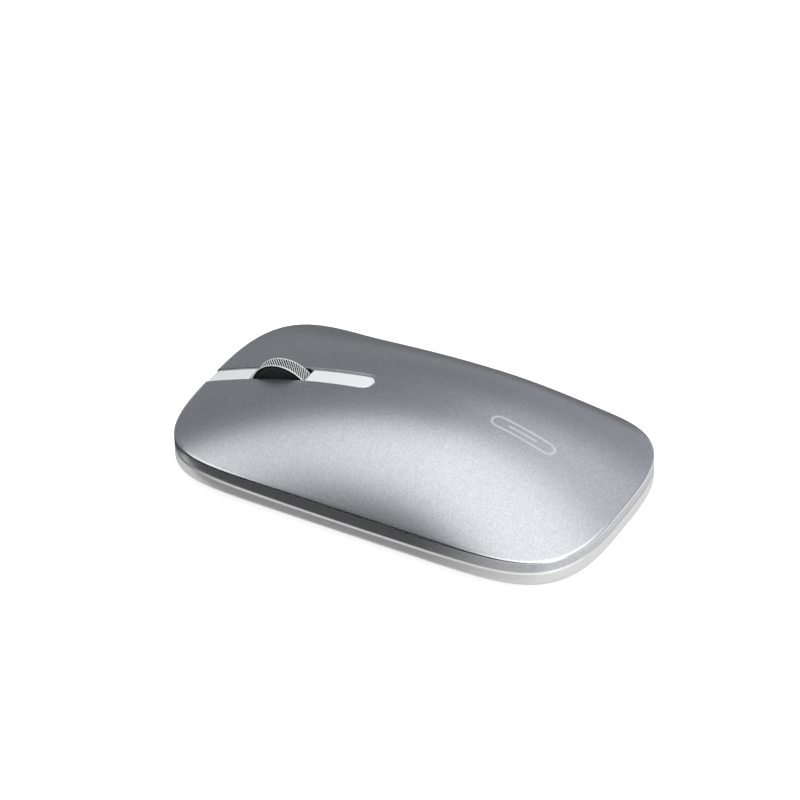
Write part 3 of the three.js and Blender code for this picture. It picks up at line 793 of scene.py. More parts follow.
class Workpiece:
    """A mesh under construction, in millimetres."""

    def __init__(self) -> None:
        """Starts with an empty mesh."""
        self.bm = bmesh.new()

    def grid(self, columns: int, rows: int, place: Callable[[float, float], Vector]) -> None:
        """Adds a grid and lays each of its points on a surface.

        Args:
            columns: Faces across.
            rows: Faces along.
            place: Gives the point for a share across and a share along, both 0 to 1.
        """
        made = bmesh.ops.create_grid(self.bm, x_segments=columns, y_segments=rows, size=0.5)["verts"]
        for vert in made:
            vert.co = place(vert.co.x + 0.5, vert.co.y + 0.5)

    def box(self, low: Iterable[float], high: Iterable[float]) -> list[BMVert]:
        """Adds a box.

        Args:
            low: Lowest corner.
            high: Highest corner.

        Returns:
            The box's vertices.
        """
        low, high = Vector(low), Vector(high)
        place = Matrix.Translation((low + high) / 2) @ Matrix.Diagonal((*(high - low), 1.0))
        return bmesh.ops.create_cube(self.bm, size=1.0, matrix=place)["verts"]

    def cylinder(self, centre: Iterable[float], radius: float, height: float, sides: int = 48) -> None:
        """Adds a capped cylinder that stands along Z.

        Args:
            centre: Its middle.
            radius: Its radius.
            height: Its height.
            sides: Faces round it.
        """
        bmesh.ops.create_cone(
            self.bm, cap_ends=True, segments=sides, radius1=radius, radius2=radius,
            depth=height, matrix=Matrix.Translation(Vector(centre)),
        )

    def sweep(self, edges: Iterable[BMEdge]) -> tuple[list[BMEdge], list[BMVert]]:
        """Extrudes a line of edges, ready for its new end to be moved.

        Args:
            edges: The line.

        Returns:
            The edges and the vertices of the new end.
        """
        made = bmesh.ops.extrude_edge_only(self.bm, edges=edges)["geom"]
        new_edges = [item for item in made if isinstance(item, BMEdge)]
        return new_edges, [item for item in made if isinstance(item, BMVert)]

    def thicken(self, wall: float) -> None:
        """Gives an open sheet its thickness.

        Args:
            wall: The thickness, inwards.
        """
        bmesh.ops.solidify(self.bm, geom=list(self.bm.faces), thickness=wall)

    def face_outwards(self) -> None:
        """Turns all faces outwards."""
        bmesh.ops.recalc_face_normals(self.bm, faces=self.bm.faces)

    def spin(self, profile: Iterable[Point], centre: Vector, steps: int) -> None:
        """Turns a closed profile once round a line along X.

        Args:
            profile: Radius and X of each point, in order.
            centre: A point on the line.
            steps: Steps in the turn.
        """
        points = [self.bm.verts.new(centre + Vector((x, 0.0, radius))) for radius, x in profile]
        edges = [self.bm.edges.new(pair) for pair in zip(points, points[1:] + points[:1], strict=True)]
        bmesh.ops.spin(
            self.bm, geom=points + edges, cent=centre, axis=(1, 0, 0),
            angle=2 * math.pi, steps=steps, use_merge=True,
        )
        self.face_outwards()

    def bevel(self, edges: Iterable[BMEdge], width: float, segments: int = 3) -> None:
        """Rounds edges.

        Args:
            edges: The edges.
            width: Width of the round.
            segments: Segments in it.
        """
        bmesh.ops.bevel(
            self.bm, geom=list(edges), offset=width, offset_type="OFFSET", segments=segments,
            profile=0.5, affect="EDGES", material=-1, clamp_overlap=False,
        )

    def edges_where(self, test: Callable[[Vector], bool]) -> list[BMEdge]:
        """Finds edges by their two ends.

        Args:
            test: Says whether an end belongs.

        Returns:
            The edges with both ends in.
        """
        return [edge for edge in self.bm.edges if all(test(vert.co) for vert in edge.verts)]

    def place(self, name: str) -> bpy.types.Object:
        """Puts the mesh into the scene, in metres.

        Args:
            name: The object's name.

        Returns:
            The object, at the origin.
        """
        bmesh.ops.scale(self.bm, vec=(MM, MM, MM), verts=self.bm.verts)
        mesh = bpy.data.meshes.new(name)
        self.bm.to_mesh(mesh)
        self.bm.free()
        placed = bpy.data.objects.new(name, mesh)
        bpy.context.scene.collection.objects.link(placed)
        return placed

    def finish(self, name: str, finish: Finish, body: str | None, sharp: float = 32.0) -> bpy.types.Object:
        """Turns the mesh into a finished piece, in metres, at the origin.

        Args:
            name: The piece's name.
            finish: Its finish.
            body: The CAD body that it rides on, or None to leave it unattached.
            sharp: Faces that meet at more than this many degrees show a sharp edge.

        Returns:
            The piece.
        """
        bmesh.ops.remove_doubles(self.bm, verts=self.bm.verts, dist=SAME_POINT)
        piece = self.place(name)
        piece.data.materials.append(finish.material())
        smooth(piece, sharp)
        if body is not None:
            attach(piece, body)
        log.info("%s: %d faces", name, len(piece.data.polygons))
        return piece


def smooth(piece: bpy.types.Object, sharp: float) -> None:
    """Shades a piece smoothly between its sharp edges.

    Args:
        piece: The piece.
        sharp: Faces that meet at more than this many degrees show a sharp edge.
    """
    piece.data.shade_smooth()
    piece.data.set_sharp_from_angle(angle=math.radians(sharp))


def carve(piece: bpy.types.Object, operand: Workpiece, operation: str = "DIFFERENCE") -> None:
    """Cuts a shape out of a piece, or joins it on, and keeps the result as the piece's mesh.

    Args:
        piece: The piece, in metres.
        operand: The shape, in millimetres.
        operation: DIFFERENCE or UNION.
    """
    tool = operand.place("operand")
    modifier = piece.modifiers.new("carve", "BOOLEAN")
    modifier.operation = operation
    modifier.solver = "EXACT"
    modifier.use_self = True
    modifier.object = tool
    bpy.context.view_layer.update()
    result = bpy.data.meshes.new_from_object(piece.evaluated_get(bpy.context.evaluated_depsgraph_get()))
    piece.modifiers.remove(modifier)
    bpy.data.objects.remove(tool)
    previous = piece.data
    piece.data = result
    result.name = previous.name
    bpy.data.meshes.remove(previous)


def corners(node: str) -> tuple[Vector, Vector]:
    """A CAD node's lowest and highest corner.

    Args:
        node: The node's name.

    Returns:
        The two corners, in millimetres.
    """
    low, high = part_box(node)
    return low / MM, high / MM


# ---------------------------------------------------------------- the mouse's form


@dataclass(frozen=True)
class Corner:
    """The two powers of the outline's superellipse at one end.

    Attributes:
        across: Power of the share of the half width.
        along: Power of the share of the half length.
    """

    across: float
    along: float


@dataclass(frozen=True)
class Form:
    """The outline in plan, the crown over it and the seam round it, in millimetres.

    Attributes:
        half_width: Half the mouse's width.
        half_length: Half its length.
        front_corner: Powers of the outline at the front.
        rear_corner: Powers at the rear.
        rim_z: Height of the crown's edge.
        crown_rise: Rise of the crown over its edge.
        peak_y: Where the crown is highest.
        section_power: Power of the crown's section across.
        parting_z: Middle of the seam, halfway along.
        parting_lift: How much higher the seam is at the two ends.
        rear_gap: Width of the seam behind the hinge line.
        front_gap: Width of the seam at the front, under the buttons.
        hinge_y: Where the buttons start to bend.
        slot_half: Half the width of the strip's slot.
        slot_end: Rear end of the slot.
    """

    half_width: float
    half_length: float
    front_corner: Corner = Corner(2.84, 7.89)
    rear_corner: Corner = Corner(3.25, 6.38)
    rim_z: float = 9.5
    crown_rise: float = 14.46
    peak_y: float = -10.0
    section_power: float = 3.0
    parting_z: float = 6.27
    parting_lift: float = 0.79
    rear_gap: float = 0.3
    front_gap: float = 0.55
    hinge_y: float = 13.0
    slot_half: float = 2.65
    slot_end: float = 10.0

    def corner(self, y: float) -> Corner:
        """The powers at the end that y is on."""
        return self.front_corner if y > 0 else self.rear_corner

    def half_width_at(self, y: float) -> float:
        """Half the outline's width.

        Args:
            y: Where along the mouse.

        Returns:
            The half width.
        """
        powers = self.corner(y)
        reach = min(1.0, abs(y) / self.half_length)
        return self.half_width * (1 - reach**powers.along) ** (1 / powers.across)

    def edge_y(self, x: float) -> float:
        """The front edge's y at x."""
        powers = self.front_corner
        return self.half_length * (1 - (abs(x) / self.half_width) ** powers.across) ** (1 / powers.along)

    def on_outline(self, turn: float, inset: float = 0.0) -> Vector:
        """A point of the outline.

        Args:
            turn: Angle of the superellipse, 0 at the right and a quarter turn at the front.
            inset: How far inside the outline.

        Returns:
            The point, at z 0.
        """
        c, s = math.cos(turn), math.sin(turn)
        powers = self.corner(s)
        x = math.copysign(abs(c) ** (2 / powers.across), c) * (self.half_width - inset)
        y = math.copysign(abs(s) ** (2 / powers.along), s) * (self.half_length - inset)
        return Vector((x, y, 0.0))

    def side_turns(self, samples: int = 6000) -> tuple[np.ndarray, np.ndarray, np.ndarray]:
        """The right half of the outline from the rear middle to the front middle, by its length.

        Args:
            samples: How finely it is measured.

        Returns:
            The angles, the points and the length up to each.
        """
        turns = np.linspace(-math.pi / 2, math.pi / 2, samples)
        points = np.array([self.on_outline(t)[:2] for t in turns])
        steps = np.hypot(*np.diff(points, axis=0).T)
        return turns, points, np.concatenate([[0.0], np.cumsum(steps)])

    def crown(self, x: float, y: float) -> float:
        """Height of the outer face over a point in plan.

        Args:
            x: The point's x.
            y: The point's y.

        Returns:
            The height.
        """
        span = self.half_length - self.peak_y if y > self.peak_y else self.half_length + self.peak_y
        along = (y - self.peak_y) / span
        across = min(1.0, abs(x) / max(self.half_width_at(y), 1e-6))
        rise = self.crown_rise * max(0.0, 1 - along * along)
        return self.rim_z + rise * (1 - across**self.section_power)

    def lower_edge(self, y: float) -> float:
        """Height of the lower shell's edge at the seam."""
        return self.parting_z + self.parting_lift * (y / self.half_length) ** 2 - self.rear_gap / 2

    def upper_edge(self, y: float) -> float:
        """Height of the upper shell's edge at the seam."""
        along = min(1.0, max(0.0, (y - self.hinge_y) / (self.half_length - self.hinge_y)))
        return self.lower_edge(y) + self.rear_gap + (self.front_gap - self.rear_gap) * along

    def slot_edge(self, y: float) -> float:
        """Half the width of the strip's slot.

        Args:
            y: Where along the mouse.

        Returns:
            The half width, 0 behind the slot's round end.
        """
        inside = y - self.slot_end
        if inside <= 0:
            return 0.0
        if inside >= self.slot_half:
            return self.slot_half
        return math.sqrt(self.slot_half**2 - (self.slot_half - inside) ** 2)


def measured_form() -> Form:
    """The form with its width and length from the CAD shells.

    Returns:
        The form.
    """
    low, high = corners("bottom_shell")
    return Form(half_width=(high.x - low.x) / 2, half_length=(high.y - low.y) / 2)


# ---------------------------------------------------------------- upper shell


@dataclass
class HalfSkin:
    """One half of the upper shell: half the palm and the button that bends from it.

    Attributes:
        form: The mouse's form.
        side: Which half.
        wall: Wall thickness.
        inner_x: Half width of the middle field of faces.
        inner_y: Half length of that field.
        columns: Faces across the field.
        step: Length of a face along the field.
        rings: Rings of faces from the field to the rim.
        arc_steps: Faces along each quarter of the slot's round end.
        rim_round: Radius of the crown's edge.
        slot_round: Radius of the slot's edge.
        bend_start: Y where the skin would start to bend with the button; nothing here bends it.
        bend_end: Y from which it would move with the button; nothing here moves it.
    """

    form: Form
    side: Side
    wall: float = 1.6
    inner_x: float = 19.5
    inner_y: float = 43.5
    columns: int = 26
    step: float = 0.9
    rings: int = 14
    arc_steps: int = 9
    rim_round: float = 0.3
    slot_round: float = 0.32
    bend_start: float = 10.5
    bend_end: float = 18.0

    def rows(self) -> list[float]:
        """Y of each line of points across the field, closer together round the slot's end.

        Returns:
            The places, from the rear.
        """
        end, radius = self.form.slot_end, self.form.slot_half
        behind = round((end + self.inner_y) / self.step)
        ahead = round((self.inner_y - end - radius) / self.step)
        swings = [math.pi / 2 * k / self.arc_steps for k in range(1, self.arc_steps)]
        arc = [end + radius * (1 - math.cos(swing)) for swing in swings]
        rear = np.linspace(-self.inner_y, end, behind + 1)
        front = np.linspace(end + radius, self.inner_y, ahead + 1)
        return [*rear, *arc, *front]

    def sheet(self) -> Workpiece:
        """The outer face of the right half: the field, the rings round it and the side wall.

        Returns:
            The open sheet.
        """
        form, work, rows = self.form, Workpiece(), self.rows()
        last = len(rows) - 1

        def on_field(across: float, along: float) -> Vector:
            """Places a point of the field.

            Args:
                across: Its share across, from 0 to 1.
                along: Its share along.

            Returns:
                The point, at z 0.
            """
            y = float(rows[round(along * last)])
            inner = form.slot_edge(y)
            return Vector((inner + (self.inner_x - inner) * across, y, 0.0))

        work.grid(self.columns, last, on_field)
        bm = work.bm
        start = bm.verts.layers.float_vector.new("start")
        goal = bm.verts.layers.float_vector.new("goal")
        goals = self.goals()
        for vert in bm.verts:
            vert[start] = vert.co
            vert[goal] = goals(vert.co)

        def outer(edge: BMEdge) -> bool:
            """Says whether an edge of the field faces the outline.

            Args:
                edge: The edge.

            Returns:
                Whether it does.
            """
            a, b = (vert.co for vert in edge.verts)
            side = min(a.x, b.x) > self.inner_x - TINY
            return side or min(a.y, b.y) > self.inner_y - TINY or max(a.y, b.y) < TINY - self.inner_y

        edges = [edge for edge in bm.edges if edge.is_boundary and outer(edge)]
        for ring in range(1, self.rings + 1):
            edges, verts = work.sweep(edges)
            for vert in verts:
                vert.co = vert[start].lerp(vert[goal], ring / self.rings)
        for vert in bm.verts:
            vert.co.z = form.crown(vert.co.x, vert.co.y)
        for vert in {vert for edge in edges for vert in edge.verts}:
            vert.co.z = form.rim_z
        for vert in work.sweep(edges)[1]:
            vert.co.z = form.upper_edge(vert.co.y)
        return work

    def goals(self) -> Callable[[Vector], Vector]:
        """Where each point on the field's edge ends up on the outline.

        Returns:
            A function from a field point to an outline point.
        """
        form = self.form
        _, points, lengths = form.side_turns()
        reach = np.abs(points).sum(axis=1)
        middle = int(np.searchsorted(points[:, 1], 0.0))
        rear = lengths[int(np.argmax(reach[:middle]))]
        front = lengths[middle + int(np.argmax(reach[middle:]))]
        slot = lengths[int(np.searchsorted(-points[middle:, 0], -form.slot_half)) + middle]

        def goal(co: Vector) -> Vector:
            """Finds where a point of the field's edge ends up.

            Args:
                co: The field's point.

            Returns:
                The outline's point.
            """
            if co.y < TINY - self.inner_y:
                length = rear * co.x / self.inner_x
            elif co.y > self.inner_y - TINY:
                length = slot + (front - slot) * (co.x - form.slot_half) / (self.inner_x - form.slot_half)
            else:
                length = rear + (front - rear) * (co.y + self.inner_y) / (2 * self.inner_y)
            x, y = (float(np.interp(length, lengths, points[:, axis])) for axis in (0, 1))
            if co.y > self.inner_y - TINY and abs(co.x - form.slot_half) < TINY:
                x, y = form.slot_half, form.edge_y(form.slot_half)
            return Vector((x, y, 0.0))

        return goal

    def on_slot(self, co: Vector) -> bool:
        """Says whether a point is on the slot's upper edge.

        Args:
            co: The point.

        Returns:
            Whether it is.
        """
        form = self.form
        near_line = abs(abs(co.x) - form.slot_edge(co.y)) < TINY and co.y > form.slot_end - TINY
        return near_line and abs(co.z - form.crown(co.x, co.y)) < 10 * TINY

    def build(self) -> bpy.types.Object:
        """Builds the half and dresses it.

        Returns:
            The piece.
        """
        work = self.sheet()
        bm = work.bm
        bmesh.ops.scale(bm, vec=(self.side.value, 1.0, 1.0), verts=bm.verts)
        bmesh.ops.remove_doubles(bm, verts=bm.verts, dist=SAME_POINT)
        work.face_outwards()
        work.thicken(self.wall)
        work.bevel(work.edges_where(lambda co: abs(co.z - self.form.rim_z) < TINY), self.rim_round, 5)
        work.bevel(work.edges_where(self.on_slot), self.slot_round, 3)
        button = f"{self.side.word}_button"
        piece = work.finish(f"{self.side.word}_half_skin", SATIN, None)
        start, end = ((0.0, y * MM, 0.0) for y in (self.bend_start, self.bend_end))
        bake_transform(piece)
        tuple(start)
        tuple(end)
        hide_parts("top_shell", button)
        return piece


# ---------------------------------------------------------------- lower shell


@dataclass
class LowerShell:
    """The lower shell, with the openings and recesses in its base.

    Attributes:
        form: The mouse's form.
        base_z: Height of its flat base.
        wall: Wall thickness.
        belly_inset: How far inside the outline the flat base starts.
        belly_top: Height where the side becomes upright.
        belly_power: Roundness of the turn from the base to the side.
        belly_steps: Rings of faces in that turn.
        lip_chamfer: Width of the chamfer round the top edge.
        well_floor: Floor of the hollow under the wheel.
        window: Half sizes across and along of the sensor's window.
        port_gap: Room round the charging port.
        points: Points round the outline.
    """

    form: Form
    base_z: float = 0.6
    wall: float = 1.6
    belly_inset: float = 7.0
    belly_top: float = 3.8
    belly_power: float = 2.1
    belly_steps: int = 14
    lip_chamfer: float = 0.45
    well_floor: float = 1.2
    window: Point = (3.2, 4.5)
    port_gap: float = 0.18
    points: int = 264

    def turns(self) -> list[float]:
        """Angles round the whole outline, evenly spaced by length.

        Returns:
            The angles.
        """
        turns, _, lengths = self.form.side_turns()
        half = self.points // 2
        right = [float(np.interp(lengths[-1] * k / half, lengths, turns)) for k in range(half)]
        return right + [math.pi + turn for turn in right]

    def stations(self) -> list[tuple[float, Callable[[float], float]]]:
        """The rings of the shell, from its base up the outside and down the inside.

        Returns:
            Each ring's inset and its height as a function of y.
        """
        def level(z: float) -> Callable[[float], float]:
            """A height that is the same all along."""
            return lambda y: z

        rise = self.belly_top - self.base_z
        belly = []
        for ring in range(self.belly_steps + 1):
            share = ring / self.belly_steps
            inset = self.belly_inset * (1 - share) ** self.belly_power
            belly.append((inset, level(self.base_z + rise * share)))
        floor = self.base_z + self.wall
        inside = [
            (self.wall, self.form.lower_edge),
            (self.wall, level(floor + 2)),
            (self.wall + 0.6, level(floor + 1)),
            (self.wall + 2.2, level(floor)),
        ]
        return [*belly, (0.0, self.form.lower_edge), *inside]

    def hull(self) -> Workpiece:
        """The closed shell without its openings.

        Returns:
            The mesh.
        """
        work, form = Workpiece(), self.form
        bm = work.bm
        turn = bm.verts.layers.float.new("turn")
        ring = bmesh.ops.create_circle(bm, cap_ends=True, segments=self.points, radius=1.0)["verts"]
        for vert, angle in zip(ring, self.turns(), strict=True):
            vert[turn] = angle
        stations = self.stations()

        def move(verts: Iterable[BMVert], station: tuple[float, Callable[[float], float]]) -> None:
            """Moves the points of a ring to their station.

            Args:
                verts: The ring.
                station: Its inset and its height as a function of y.
            """
            inset, height = station
            for vert in verts:
                vert.co = form.on_outline(vert[turn], inset)
                vert.co.z = height(vert.co.y)

        move(ring, stations[0])
        edges = list(bm.edges)
        for station in stations[1:]:
            edges, verts = work.sweep(edges)
            move(verts, station)
        bmesh.ops.contextual_create(bm, geom=edges)
        work.face_outwards()
        work.bevel(work.edges_where(self.on_lip), self.lip_chamfer, 1)
        return work

    def on_lip(self, co: Vector) -> bool:
        """Says whether a point is on the outer side of the shell's top edge.

        Args:
            co: The point.

        Returns:
            Whether it is.
        """
        half_x, half_y = self.form.half_width - self.wall / 2, self.form.half_length - self.wall / 2
        powers = self.form.corner(co.y)
        outside = abs(co.x / half_x) ** powers.across + abs(co.y / half_y) ** powers.along > 1
        return outside and abs(co.z - self.form.lower_edge(co.y)) < TINY / 10

    def bay(self, grow: float, z0: float, z1: float) -> Workpiece:
        """The receiver's bay as a box.

        Args:
            grow: How far the box is outside the receiver.
            z0: Its lowest height.
            z1: Its highest height.

        Returns:
            The box.
        """
        cap_low, cap_high = corners("receiver_cap")
        _, plug_high = corners("receiver_plug")
        work = Workpiece()
        low = (cap_low.x - grow, cap_low.y - grow, z0)
        work.box(low, (plug_high.x + grow, cap_high.y + grow, z1))
        return work

    def openings(self) -> Workpiece:
        """Everything that goes through the base or sinks into it.

        Returns:
            The cutters, in one mesh.
        """
        work = Workpiece()
        below, above = self.base_z - 2.0, self.base_z + self.wall + 1.0

        lens_low, lens_high = corners("sensor_lens")
        middle = (lens_low.y + lens_high.y) / 2
        half_x, half_y = self.window
        work.box((-half_x, middle - half_y, below), (half_x, middle + half_y, above))
        wheel_low, wheel_high = corners("wheel_tyre")
        well_half = wheel_high.x - wheel_low.x
        work.box((-well_half, wheel_low.y, self.well_floor), (well_half, wheel_high.y, above))
        knob_low, knob_high = corners("power_slider")
        work.box((knob_low.x - 0.4, knob_low.y - 0.4, below), (knob_high.x + 0.4, knob_high.y + 2.8, above))
        pad_low, pad_high = corners("mode_button")
        pad = (pad_low + pad_high) / 2
        work.cylinder((pad.x, pad.y, (below + above) / 2), (pad_high.x - pad_low.x) / 2 + 0.3, above - below)
        port_low, port_high = corners("usb_port_shell")
        room = Vector((self.port_gap, 0.0, self.port_gap))
        reach = Vector((0.0, 4.0, 0.0))
        port_low.y = port_high.y
        hole = work.box(port_low - room - reach, port_high + room + reach)
        edges = {edge for vert in hole for edge in vert.link_edges}
        lengthwise = [edge for edge in edges if abs(edge.verts[0].co.y - edge.verts[1].co.y) > 1]
        work.bevel(lengthwise, (port_high.z - port_low.z) / 2 + self.port_gap - 0.05, 8)
        return work

    def build(self) -> bpy.types.Object:
        """Builds the shell, cuts its openings and dresses it.

        Returns:
            The piece.
        """
        piece = self.hull().finish("lower_shell", SILVER, "body")
        _, plug_high = corners("receiver_plug")
        ceiling = plug_high.z + 1.6
        carve(piece, self.bay(1.5, self.base_z + 0.4, ceiling), "UNION")
        carve(piece, self.bay(0.3, self.base_z - 2.0, ceiling - 1.2))
        carve(piece, self.openings())
        for foot in GlideFoot.pair(self.form):
            carve(piece, foot.block(0.15, self.base_z - 1.0, foot.top + 0.05))
        smooth(piece, sharp=28.0)
        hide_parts("bottom_shell")
        return piece


@dataclass
class GlideFoot:
    """A curved low-friction foot at one end of the base.

    Attributes:
        form: The mouse's form.
        end: 1 at the front and -1 at the rear.
        arc: Radius of the line that it follows.
        depth: Its width.
        reach: Half the distance between its ends' centres.
        from_end: From the mouse's end to its middle line.
        top: Its upper face.
        edge_round: Radius of its lower edge.
        long_steps: Faces along each of its long sides.
        round_steps: Faces round each of its ends.
    """

    form: Form
    end: int
    arc: float = 60.0
    depth: float = 4.4
    reach: float = 18.0
    from_end: float = 9.4
    top: float = 1.1
    edge_round: float = 0.22
    long_steps: int = 40
    round_steps: int = 14

    @classmethod
    def pair(cls, form: Form) -> list["GlideFoot"]:
        """The front foot and the rear foot."""
        return [cls(form, 1), cls(form, -1)]

    def block(self, extra: float, z0: float, z1: float) -> Workpiece:
        """The foot's shape in plan, pushed between two heights.

        Args:
            extra: How much wider than the foot.
            z0: Lower height.
            z1: Upper height.

        Returns:
            The solid.
        """
        work = Workpiece()
        half = self.depth / 2 + extra
        centre_y = self.form.half_length - self.from_end - self.arc
        spread = math.asin(self.reach / self.arc)

        def point(radius: float, angle: float) -> Point:
            """A point at a radius and an angle about the line's centre."""
            return radius * math.sin(angle), centre_y + radius * math.cos(angle)

        def side(radius: float, angle: float) -> list[Point]:
            """A long side, from an angle to its opposite."""
            shares = (k / self.long_steps for k in range(self.long_steps + 1))
            return [point(radius, angle - 2 * angle * share) for share in shares]

        def tip(angle: float, start: float) -> list[Point]:
            """Lays a round end, without its first and last point.

            Args:
                angle: Where the end's centre lies on the line.
                start: Where its turn starts, from there.

            Returns:
                The points.
            """
            x, y = point(self.arc, angle)
            swings = (angle + start + math.pi * k / self.round_steps for k in range(1, self.round_steps))
            return [(x + half * math.sin(swing), y + half * math.cos(swing)) for swing in swings]

        outline = [
            *side(self.arc + half, -spread), *tip(spread, 0.0),
            *side(self.arc - half, spread), *tip(-spread, math.pi),
        ]
        face = work.bm.faces.new([work.bm.verts.new((x, self.end * y, z0)) for x, y in outline])
        made = bmesh.ops.extrude_face_region(work.bm, geom=[face])["geom"]
        bmesh.ops.translate(work.bm, vec=(0, 0, z1 - z0), verts=[v for v in made if isinstance(v, BMVert)])
        work.face_outwards()
        return work

    def build(self) -> bpy.types.Object:
        """Builds the foot and dresses it.

        Returns:
            The piece.
        """
        word = "front" if self.end > 0 else "rear"
        work = self.block(0.0, 0.0, self.top)
        work.bevel(work.edges_where(lambda co: co.z < TINY), self.edge_round, 4)
        piece = work.finish(f"{word}_glide", GLIDE, "body")
        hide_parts(f"{word}_foot")
        return piece


# ---------------------------------------------------------------- centre strip


@dataclass
class CentreStrip:
    """The bright strip down the middle, in two lengths either side of the wheel, over its hidden flange.

    Attributes:
        form: The mouse's form.
        width: The strip's width.
        recess: How far its face lies under the crown.
        face_recess: How far its front end lies behind the mouse's front.
        thickness: Its thickness.
        end_y: Its round rear end.
        window_rear: Rear side of the wheel's window.
        window_front: Front side of that window.
        nose_round: Height of its bend over the front edge.
        chamfer: Width of the chamfer round its face.
        columns: Faces across it.
        flange_width: Width of the flange.
        flange_gap: From the strip's underside to the flange.
        flange_thickness: Thickness of the flange.
    """

    form: Form
    width: float = 4.7
    recess: float = 0.25
    face_recess: float = 0.04
    thickness: float = 1.0
    end_y: float = 10.3
    window_rear: float = 27.75
    window_front: float = 43.55
    nose_round: float = 0.6
    chamfer: float = 0.32
    columns: int = 8
    flange_width: float = 7.9
    flange_gap: float = 0.35
    flange_thickness: float = 1.2

    def spine(self, y: float, depth: float) -> Vector:
        """A point so far under the crown's middle line."""
        return Vector((0.0, y, self.form.crown(0.0, y) - depth))

    def half_at(self, y: float) -> float:
        """Half the strip's width, with a round rear end.

        Args:
            y: Where along the mouse.

        Returns:
            The half width.
        """
        half = self.width / 2
        inside = max(0.0, y - self.end_y)
        return half if inside >= half else math.sqrt(max(0.0, half**2 - (half - inside) ** 2))

    def rear_length(self, work: Workpiece) -> None:
        """Lays the length behind the wheel into a mesh.

        Args:
            work: The mesh.
        """
        half = self.width / 2
        round_rows, rows = 10, 36
        arc = [self.end_y + half * (1 - math.cos(math.pi / 2 * k / round_rows)) for k in range(round_rows)]
        places = [*arc, *np.linspace(self.end_y + half, self.window_rear, rows - round_rows + 1)]

        def on_strip(across: float, along: float) -> Vector:
            """Places a point of the strip.

            Args:
                across: Its share across, from 0 to 1.
                along: Its share along.

            Returns:
                The point.
            """
            y = float(places[round(along * rows)])
            point = self.spine(y, self.recess)
            point.x = (2 * across - 1) * self.half_at(y)
            return point

        work.grid(self.columns, rows, on_strip)

    def front_length(self, work: Workpiece) -> None:
        """Lays the length ahead of the wheel, bent down over the front edge, into a mesh.

        Args:
            work: The mesh.
        """
        flat_rows, bend_rows, drop_rows = 22, 10, 6
        bend_y = self.form.half_length - self.face_recess - self.nose_round
        top = self.spine(bend_y, self.recess)
        slope = math.atan2(self.spine(bend_y - 0.1, self.recess).z - top.z, 0.1)
        radius = self.nose_round / (1 - math.sin(slope))
        centre = top - Vector((0, math.sin(slope), math.cos(slope))) * radius
        level_ys = np.linspace(self.window_front, bend_y, flat_rows + 1)
        path = [self.spine(float(y), self.recess) for y in level_ys]
        for angle in np.linspace(slope, math.pi / 2, bend_rows + 1)[1:]:
            path.append(centre + Vector((0, math.sin(angle), math.cos(angle))) * radius)
        foot = Vector((0, path[-1].y, self.form.upper_edge(self.form.half_length)))
        path += [path[-1].lerp(foot, k / drop_rows) for k in range(1, drop_rows + 1)]
        rows = len(path) - 1

        def on_strip(across: float, along: float) -> Vector:
            """Places a point of the strip.

            Args:
                across: Its share across, from 0 to 1.
                along: Its share along.

            Returns:
                The point.
            """
            point = path[round(along * rows)].copy()
            point.x = (2 * across - 1) * self.width / 2
            return point

        work.grid(self.columns, rows, on_strip)

    def plates(self, work: Workpiece) -> None:
        """Adds the flange under the slot, ahead of and behind the wheel.

        Args:
            work: The mesh.
        """
        reach = self.window_front + 1.6
        for y0, y1 in ((self.end_y + 0.6, self.window_rear - 2.8), (reach, self.form.half_length - 3.6)):
            def on_flange(across: float, along: float, y0: float = y0, y1: float = y1) -> Vector:
                """Places a point of the flange.

                Args:
                    across: Its share across, from 0 to 1.
                    along: Its share along.
                    y0: The flange's rear end.
                    y1: Its front end.

                Returns:
                    The point.
                """
                point = self.spine(y0 + (y1 - y0) * along, self.recess + self.thickness + self.flange_gap)
                point.x = (2 * across - 1) * self.flange_width / 2
                return point

            work.grid(2, 16, on_flange)

    def build(self) -> bpy.types.Object:
        """Builds the strip and dresses it.

        Returns:
            The piece.
        """
        work = Workpiece()
        self.rear_length(work)
        self.front_length(work)
        bm = work.bm
        bmesh.ops.remove_doubles(bm, verts=bm.verts, dist=TINY / 10)
        work.face_outwards()
        for face in bm.faces:
            if face.normal.z < -0.01:
                face.normal_flip()
        rim = {vert.co.to_tuple(4) for edge in bm.edges if edge.is_boundary for vert in edge.verts}
        work.thicken(self.thickness)
        on_rim = work.edges_where(lambda co: co.to_tuple(4) in rim)
        work.bevel([edge for edge in on_rim if edge.calc_face_angle(0.0) > 1.0], self.chamfer, 2)
        flange = Workpiece()
        self.plates(flange)
        flange.face_outwards()
        flange.thicken(self.flange_thickness)
        mesh = bpy.data.meshes.new("flange")
        flange.bm.to_mesh(mesh)
        flange.bm.free()
        bm.from_mesh(mesh)
        bpy.data.meshes.remove(mesh)
        piece = work.finish("centre_strip", TRIM, "body")
        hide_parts("centre_trim")
        return piece


# ---------------------------------------------------------------- wheel


